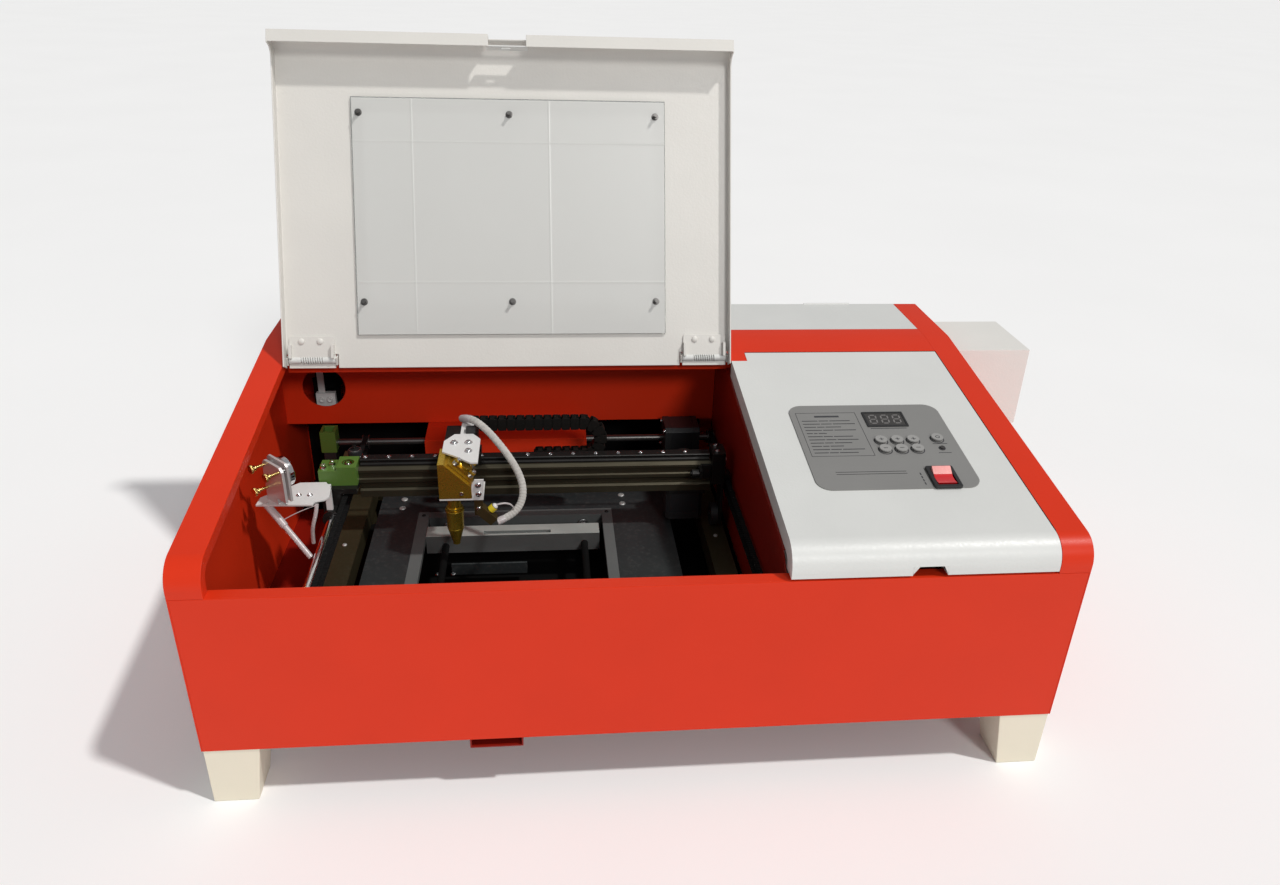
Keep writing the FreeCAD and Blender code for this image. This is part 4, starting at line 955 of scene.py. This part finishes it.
def stage_details():
    """Bed screws, painted shade sheets in the cabin, well bar, bed strips, jaw top with a painted reflection, rear
    shaft bearing and jaw springs.
    """
    screws = Piece("bed_screws", "casing", BLACK_METAL)
    for x in (145, 403):
        screws.screw((x, 80, BED_FACE), UP, 3.9, 1.4, x * 0.01)
    for x, y in product((171.5, 383), (108, 298)):
        screws.screw((x, y, BED_FACE), UP, 2.4, 1.2, y * 0.02)
    screws.paint(ZINC)
    for x, y in product((145, 403), (316, 336)):
        screws.screw((x, y, BED_FACE), UP, 3.9, 1.4, x * 0.01 + y * 0.02)
    for y, x in product((70, 241.5, 380), (91.3, 504)):
        screws.screw((x, y, 123.9), UP, 2.6, 1.5, y * 0.01)
    screws.done(0, "steel")

    # Painted shade: near-black sheets on the cabin floor, the rear wall and the foot of the divider, where the
    # cabin lies in shade.
    shade_sheets = Piece("cabin_painted_shade", "casing", SHADE_BLACK)
    shade_sheets.block((78, 521.8), (16, 498), (64.3, 65.3))
    shade_sheets.block((3, 521.8), (420, 498), (64.3, 65.4))
    shade_sheets.block((3, 168), (496.4, 497.4), (65, 189))
    shade_sheets.block((364, 521.8), (496.4, 497.4), (65, 189))
    shade_sheets.block((521.2, 522.2), (16, 410), (65, 118))
    shade_sheets.done(0, "black_board")

    well = Piece("well_crossbar", "casing", BOARD)
    well.along("X", [(236, 84), (250, 84), (250, 86.5), (238.5, 86.5), (238.5, 98), (236, 98)], 206, 290)
    well.paint(CHROME)
    for x in (191, 208):
        well.screw((x, 232, 88), UP, 3.0, 1.6, x * 0.1)
    well.done(0.3, "black_board")

    strips = Piece("bed_strips", "casing", GREY_STRIP)
    strips.block((165, 178), (100, 306), (118, 125))
    strips.block((377, 389), (100, 306), (118, 125))
    strips.block((178, 377), (293, 306), (104, 125))
    strips.block((178, 377), (100, 112), (104, 127))
    # Painted shade: the jaw rods and bed posts in the dark well are near-black.
    strips.paint(SHADE_BLACK)
    for x in JAW_RODS:
        strips.bar((x, 111.5, 114), (x, 293.5, 114), 4.0)
    for x, y in product((130, 445), (80, 332)):
        strips.bar((x, y, 65), (x, y, 122), 6.0)
    strips.done(0.3, "bed_aluminium", ["bed_frame"])

    # Painted reflection: a lighter top on the jaw for the white lid it reflects.
    reflection_plate = Piece("jaw_top_reflection_plate", "jaw", JAW_TOP_REFLECTION)
    reflection_plate.hollow(rect(178.7, 371.8, 249.2, 269.8), rect(242, 317, 252, 258), 126.9, 127.3)
    reflection_plate.done(0.1, "bed_aluminium")

    support = Piece("shaft_bearing_block", "casing", GREEN)
    support.block((47, 65), (373, 393), (170, 187))
    support.hollow(rect(47, 65, 373, 393), rect(50, 62, 376, 390), 187, 197)
    support.paint(BLACK)
    support.block((49, 63), (375, 391), (65, 170))
    support.done(0.5, "green_paint", ["shaft_block"])

    springs = Piece("jaw_springs", "casing", STEEL)
    for x in JAW_RODS:
        springs.coil((x, 272, 114), (x, 292, 114), 5.4, 0.7, 7)
    springs.done(0, "steel")


def motor(name, body, centre, low, high, axis, replaces, flange):
    """Stepper motor: dark stack between two black end bells with chamfered corners."""
    unit = Piece(name, body, MOTOR)
    u, v = centre
    shape = [(-21, -16.5), (-16.5, -21), (16.5, -21), (21, -16.5), (21, 16.5), (16.5, 21), (-16.5, 21), (-21, 16.5)]
    square = [(u + a, v + b) for a, b in shape]
    end_bell = 8
    unit.along(axis, [(u + a * 0.985, v + b * 0.985) for a, b in shape], low + end_bell, high - end_bell)
    unit.paint(BLACK)
    unit.along(axis, square, low, low + end_bell)
    unit.along(axis, square, high - end_bell, high)
    flange(unit)
    unit.done(0.4, "motor_metal", replaces)


def motors():
    """Both stepper motors with their mounting plates."""

    def x_flange(unit):
        unit.paint(BLACK_METAL)
        hole = circle(11.2, 28, radians(-135))
        plate = rounded_rect(449, 491, 259.2, 306, 2)
        unit.hollow([(x, y) for x, y in plate], [(470 + a, 287.5 + b) for a, b in hole], 170, 174)
        unit.paint(CHROME)
        for dx, dy in product((-MOTOR_SCREW, MOTOR_SCREW), repeat=2):
            unit.socket_screw((470 + dx, 287.5 + dy, 173.9), UP, 2.6, 2.2)

    def y_flange(unit):
        unit.paint(BLACK_METAL)
        unit.along("X", rect(366, 404, 118, 157.2), 455, 458)
        unit.paint(CHROME)
        for dy, dz in product((-MOTOR_SCREW, MOTOR_SCREW), repeat=2):
            unit.socket_screw((458.1, 385 + dy, 178 + dz), LEFT, 2.6, 2.2)

    motor("x_stepper", "gantry", (470, 287.5), 132, 170, "Z", ["x_motor"], x_flange)
    motor("y_stepper", "casing", (385, 178), 458, 500, "X", ["y_motor"], y_flange)


stage_details()
motors()

# ------ rear and bays


REAR_FACE = 499.9


def rear_details():
    """Fan guard, inlet, hose barbs, and the screws of the casing."""
    guard = Piece("fan_guard", "casing", CHROME)
    for radius in (12, 20, 28, 36, 43.5):
        ring = [(266 + x, 525.6, 138 + z) for x, z in circle(radius, 48)]
        guard.tube(ring + ring[:2], 0.8, 8, False)
    for index in range(4):
        a = radians(45 + 90 * index)
        out = Vector((cos(a), 0, sin(a)))
        centre = Vector((266, 526.6, 138))
        guard.tube([centre + out * 11, centre + out * 47, centre + out * 55 + Vector((0, -0.6, 0))], 0.8, 8)
        guard.screw(centre + out * 55 + Vector((0, -1.6, 0)), BACK, 3.4, 2.0)
    guard.done(0, "steel")

    inlet = Piece("mains_inlet", "casing", BLACK)
    turn = TURNED["Y"]
    face_outer = rounded_rect(632, 676, 86, 116, 5)
    face_inner = rounded_rect(642.5, 665.5, 94, 109, 3)
    inlet.hollow(face_outer, face_inner, -503.4, -500, turn)
    inlet.hollow(rounded_rect(640.4, 667.6, 90.4, 111.6, 3), face_inner, -500, -486.4, turn)
    inlet.block((642, 666), (486.2, 488), (93, 110))
    inlet.paint(BRASS)
    for x, z in ((647.5, 99), (660.5, 99), (654, 104.5)):
        inlet.block((x - 1, x + 1), (488, 499), (z - 2, z + 2))
    inlet.paint(CHROME)
    for x in (636, 672):
        inlet.screw((x, 503.2, 101), BACK, 2.4, 1.3)
    inlet.done(0.3, "black_plastic", ["rear_connectors"])

    barbs = Piece("water_barbs", "casing", BRASS)
    profile = [(0, 5.0), (14, 5.0), (14.01, 9), (18, 9)]
    for step in range(4):
        profile += [(18.5 + 4 * step, 4.2), (21.5 + 4 * step, 5.0)]
    profile += [(34, 4.0)]
    for x in (700, 730):
        barbs.lathe((x, 490, 110), BACK, profile)
        barbs.prism([(x + a, 110 + b) for a, b in circle(8.8, 6)], -506.5, -500, turn)
    barbs.done(0.15, "steel")

    screws = Piece("casing_screws", "casing", STEEL)
    for x, z in product((18, 200, 400, 600, 782), (75, 295)):
        screws.screw((x, REAR_FACE, z), BACK, 3.4, 1.9, x * 0.05 + z)
    for x in (40, 760):
        screws.screw((x, REAR_FACE, 175), BACK, 3.4, 1.9, x * 0.05)
    for x in (60, 420, 700):
        screws.screw((x, 411.9, 298), FRONT, 2.6, 1.4, x * 0.02)
    for y, z in product((398, 478), (200, 280)):
        screws.screw((909.9, y, z), RIGHT, 2.8, 1.5, y * 0.1)
    screws.done(0, "steel")


def bay_details():
    """What stands in the right-hand bay and the tube compartment."""
    board = Piece("driver_board", "casing", CIRCUIT)
    board.block((660.2, 769.8), (250.2, 379.8), (75.8, 77.4))
    board.paint(BLACK)
    for x, y, w, d, tall in ((680, 280, 24, 24, 8.6), (720, 280, 24, 24, 8.6), (690, 312, 14, 10, 3),
                             (722, 314, 18, 8, 3)):
        board.block((x - 0.3, x + w + 0.3), (y - 0.3, y + d + 0.3), (77.2, 76 + tall))
    for x, fin in product((684, 724), range(0, 18, 3)):
        board.block((x + fin, x + fin + 1.2), (283, 301), (84, 92))
    board.paint(GREEN)
    for x in range(6):
        board.block((680 + x * 11, 690 + x * 11), (329.6, 350.4), (77.2, 88.4))
    board.paint(STEEL)
    for x in range(6):
        board.screw((685 + x * 11, 340, 88.3), UP, 2.4, 1.0, x)
    for x, y in product((666, 764), (256, 374)):
        board.screw((x, y, 77.3), UP, 3.0, 1.8, x)
    board.paint(MOTOR)
    for x in (676, 700, 724, 748):
        board.lathe((x, 362, 77.2), UP, [(0, 5.5), (1, 5.2), (2, 5.5), (15, 5.5), (16, 5.0)])
    board.done(0.2, "electronics_metal")

    supply = Piece("supply_vents", "casing", BLACK)
    for y, x in product(range(246, 359, 14), range(566, 619, 13)):
        supply.prism(rounded_rect(x, x + 9, y, y + 4, 1.9, 4), 157.4, 158.5)
    supply.paint(STEEL)
    for x in (562, 630):
        for y in (226, 384):
            supply.screw((x, y, 66), UP, 3.4, 2.0, x)
        for y in (236, 374):
            supply.screw((x, y, 158), UP, 2.6, 1.6, y)
    supply.done(0, "electronics_metal")

    tube = Piece("laser_tube_core", "casing", GLASS)
    count = 260
    line = [Vector((120 + 720 * i / count, 455 + 15 * cos(i * 0.42), 234 + 15 * sin(i * 0.42)))
            for i in range(count + 1)]
    tube.tube(line, 2.4, 8)
    tube.paint(STEEL)
    for x in (76, 862):
        tube.lathe((x, 455, 234), RIGHT, [(0, 11.4), (0.5, 12), (5, 12), (6, 18), (12, 18), (12.5, 16)])
    tube.paint(BRASS)
    tube.lathe((70, 455, 234), RIGHT, [(0, 8), (0.5, 8.4), (6, 8.4)])
    tube.paint(ROCKER)
    lead = [(866, 455, 258), (862, 455, 270), (850, 452, 280), (836, 446, 284), (822, 438, 283)]
    tube.tube(smooth_line(lead, 10), 2.6, 12)
    tube.paint(CLEAR_TUBE)
    water = [(84, 455, 240), (88, 455, 256), (94, 452, 268), (104, 445, 276), (116, 436, 280)]
    tube.tube(smooth_line(water, 10), 3.4, 14)
    tube.done(0, "tube_glass")

    clamp = Piece("tube_mirror_clamp", "casing", WHITE_PLATE)
    clamp.block((33, 56), (437, 445), (202, 219))
    clamp.block((36, 44), (440, 442), (219, 262))
    clamp.socket_screw((40, 436.9, 211), FRONT, 3.6, 2.6)
    clamp.socket_screw((49.5, 436.9, 211), FRONT, 3.6, 2.6)
    clamp.done(0.4, "mirror_metal")

    straps = Piece("tube_straps", "casing", BLACK)
    for left in (200, 640):
        arc = [radians(a) for a in range(0, 181, 10)]
        outer = [(455 + 26.6 * cos(a), 238 + 26.6 * sin(a)) for a in arc]
        inner = [(455 + 25.1 * cos(a), 238 + 25.1 * sin(a)) for a in reversed(arc)]
        straps.along("X", outer + inner, left + 2, left + 14)
        straps.paint(CHROME)
        for y in (427, 483):
            straps.socket_screw((left + 8, y, 263.9), UP, 3.2, 3.0)
        straps.paint(BLACK)
    straps.done(0.2, "black_plastic")


rear_details()
bay_details()

# ------ stage and light


def studio():
    """Pale floor, one soft light from the upper right, one from the front and an even sky."""
    floor_finish = surface("floor", (0.95, 0.95, 0.95), 0.8, tone=0.01, tone_scale=2, grain=300)
    mesh = bmesh.new()
    bmesh.ops.create_grid(mesh, x_segments=4, y_segments=4, size=40)
    data = bpy.data.meshes.new("floor")
    mesh.to_mesh(data)
    mesh.free()
    data.materials.append(floor_finish)
    floor = bpy.data.objects.new("floor", data)
    SCENE.collection.objects.link(floor)

    def sun(name, toward, strength, spread, colour):
        light = bpy.data.lights.new(name, "SUN")
        light.energy = strength
        light.angle = radians(spread)
        light.color = colour
        holder = bpy.data.objects.new(name, light)
        holder.rotation_euler = (-Vector(toward)).to_track_quat("-Z", "Y").to_euler()
        SCENE.collection.objects.link(holder)

    sun("overhead", (0.46, -0.23, 0.858), 1.85, 3.0, (1.0, 0.985, 0.96))
    sun("front", (0.286, -0.80, 0.53), 0.92, 12, (1.0, 0.99, 0.975))
    world = bpy.data.worlds.new("studio")
    world.use_nodes = True
    world.node_tree.nodes["Background"].inputs["Color"].default_value = (0.95, 0.97, 1.0, 1.0)
    world.node_tree.nodes["Background"].inputs["Strength"].default_value = 0.30
    SCENE.world = world
    SCENE.view_settings.view_transform = "Standard"


studio()
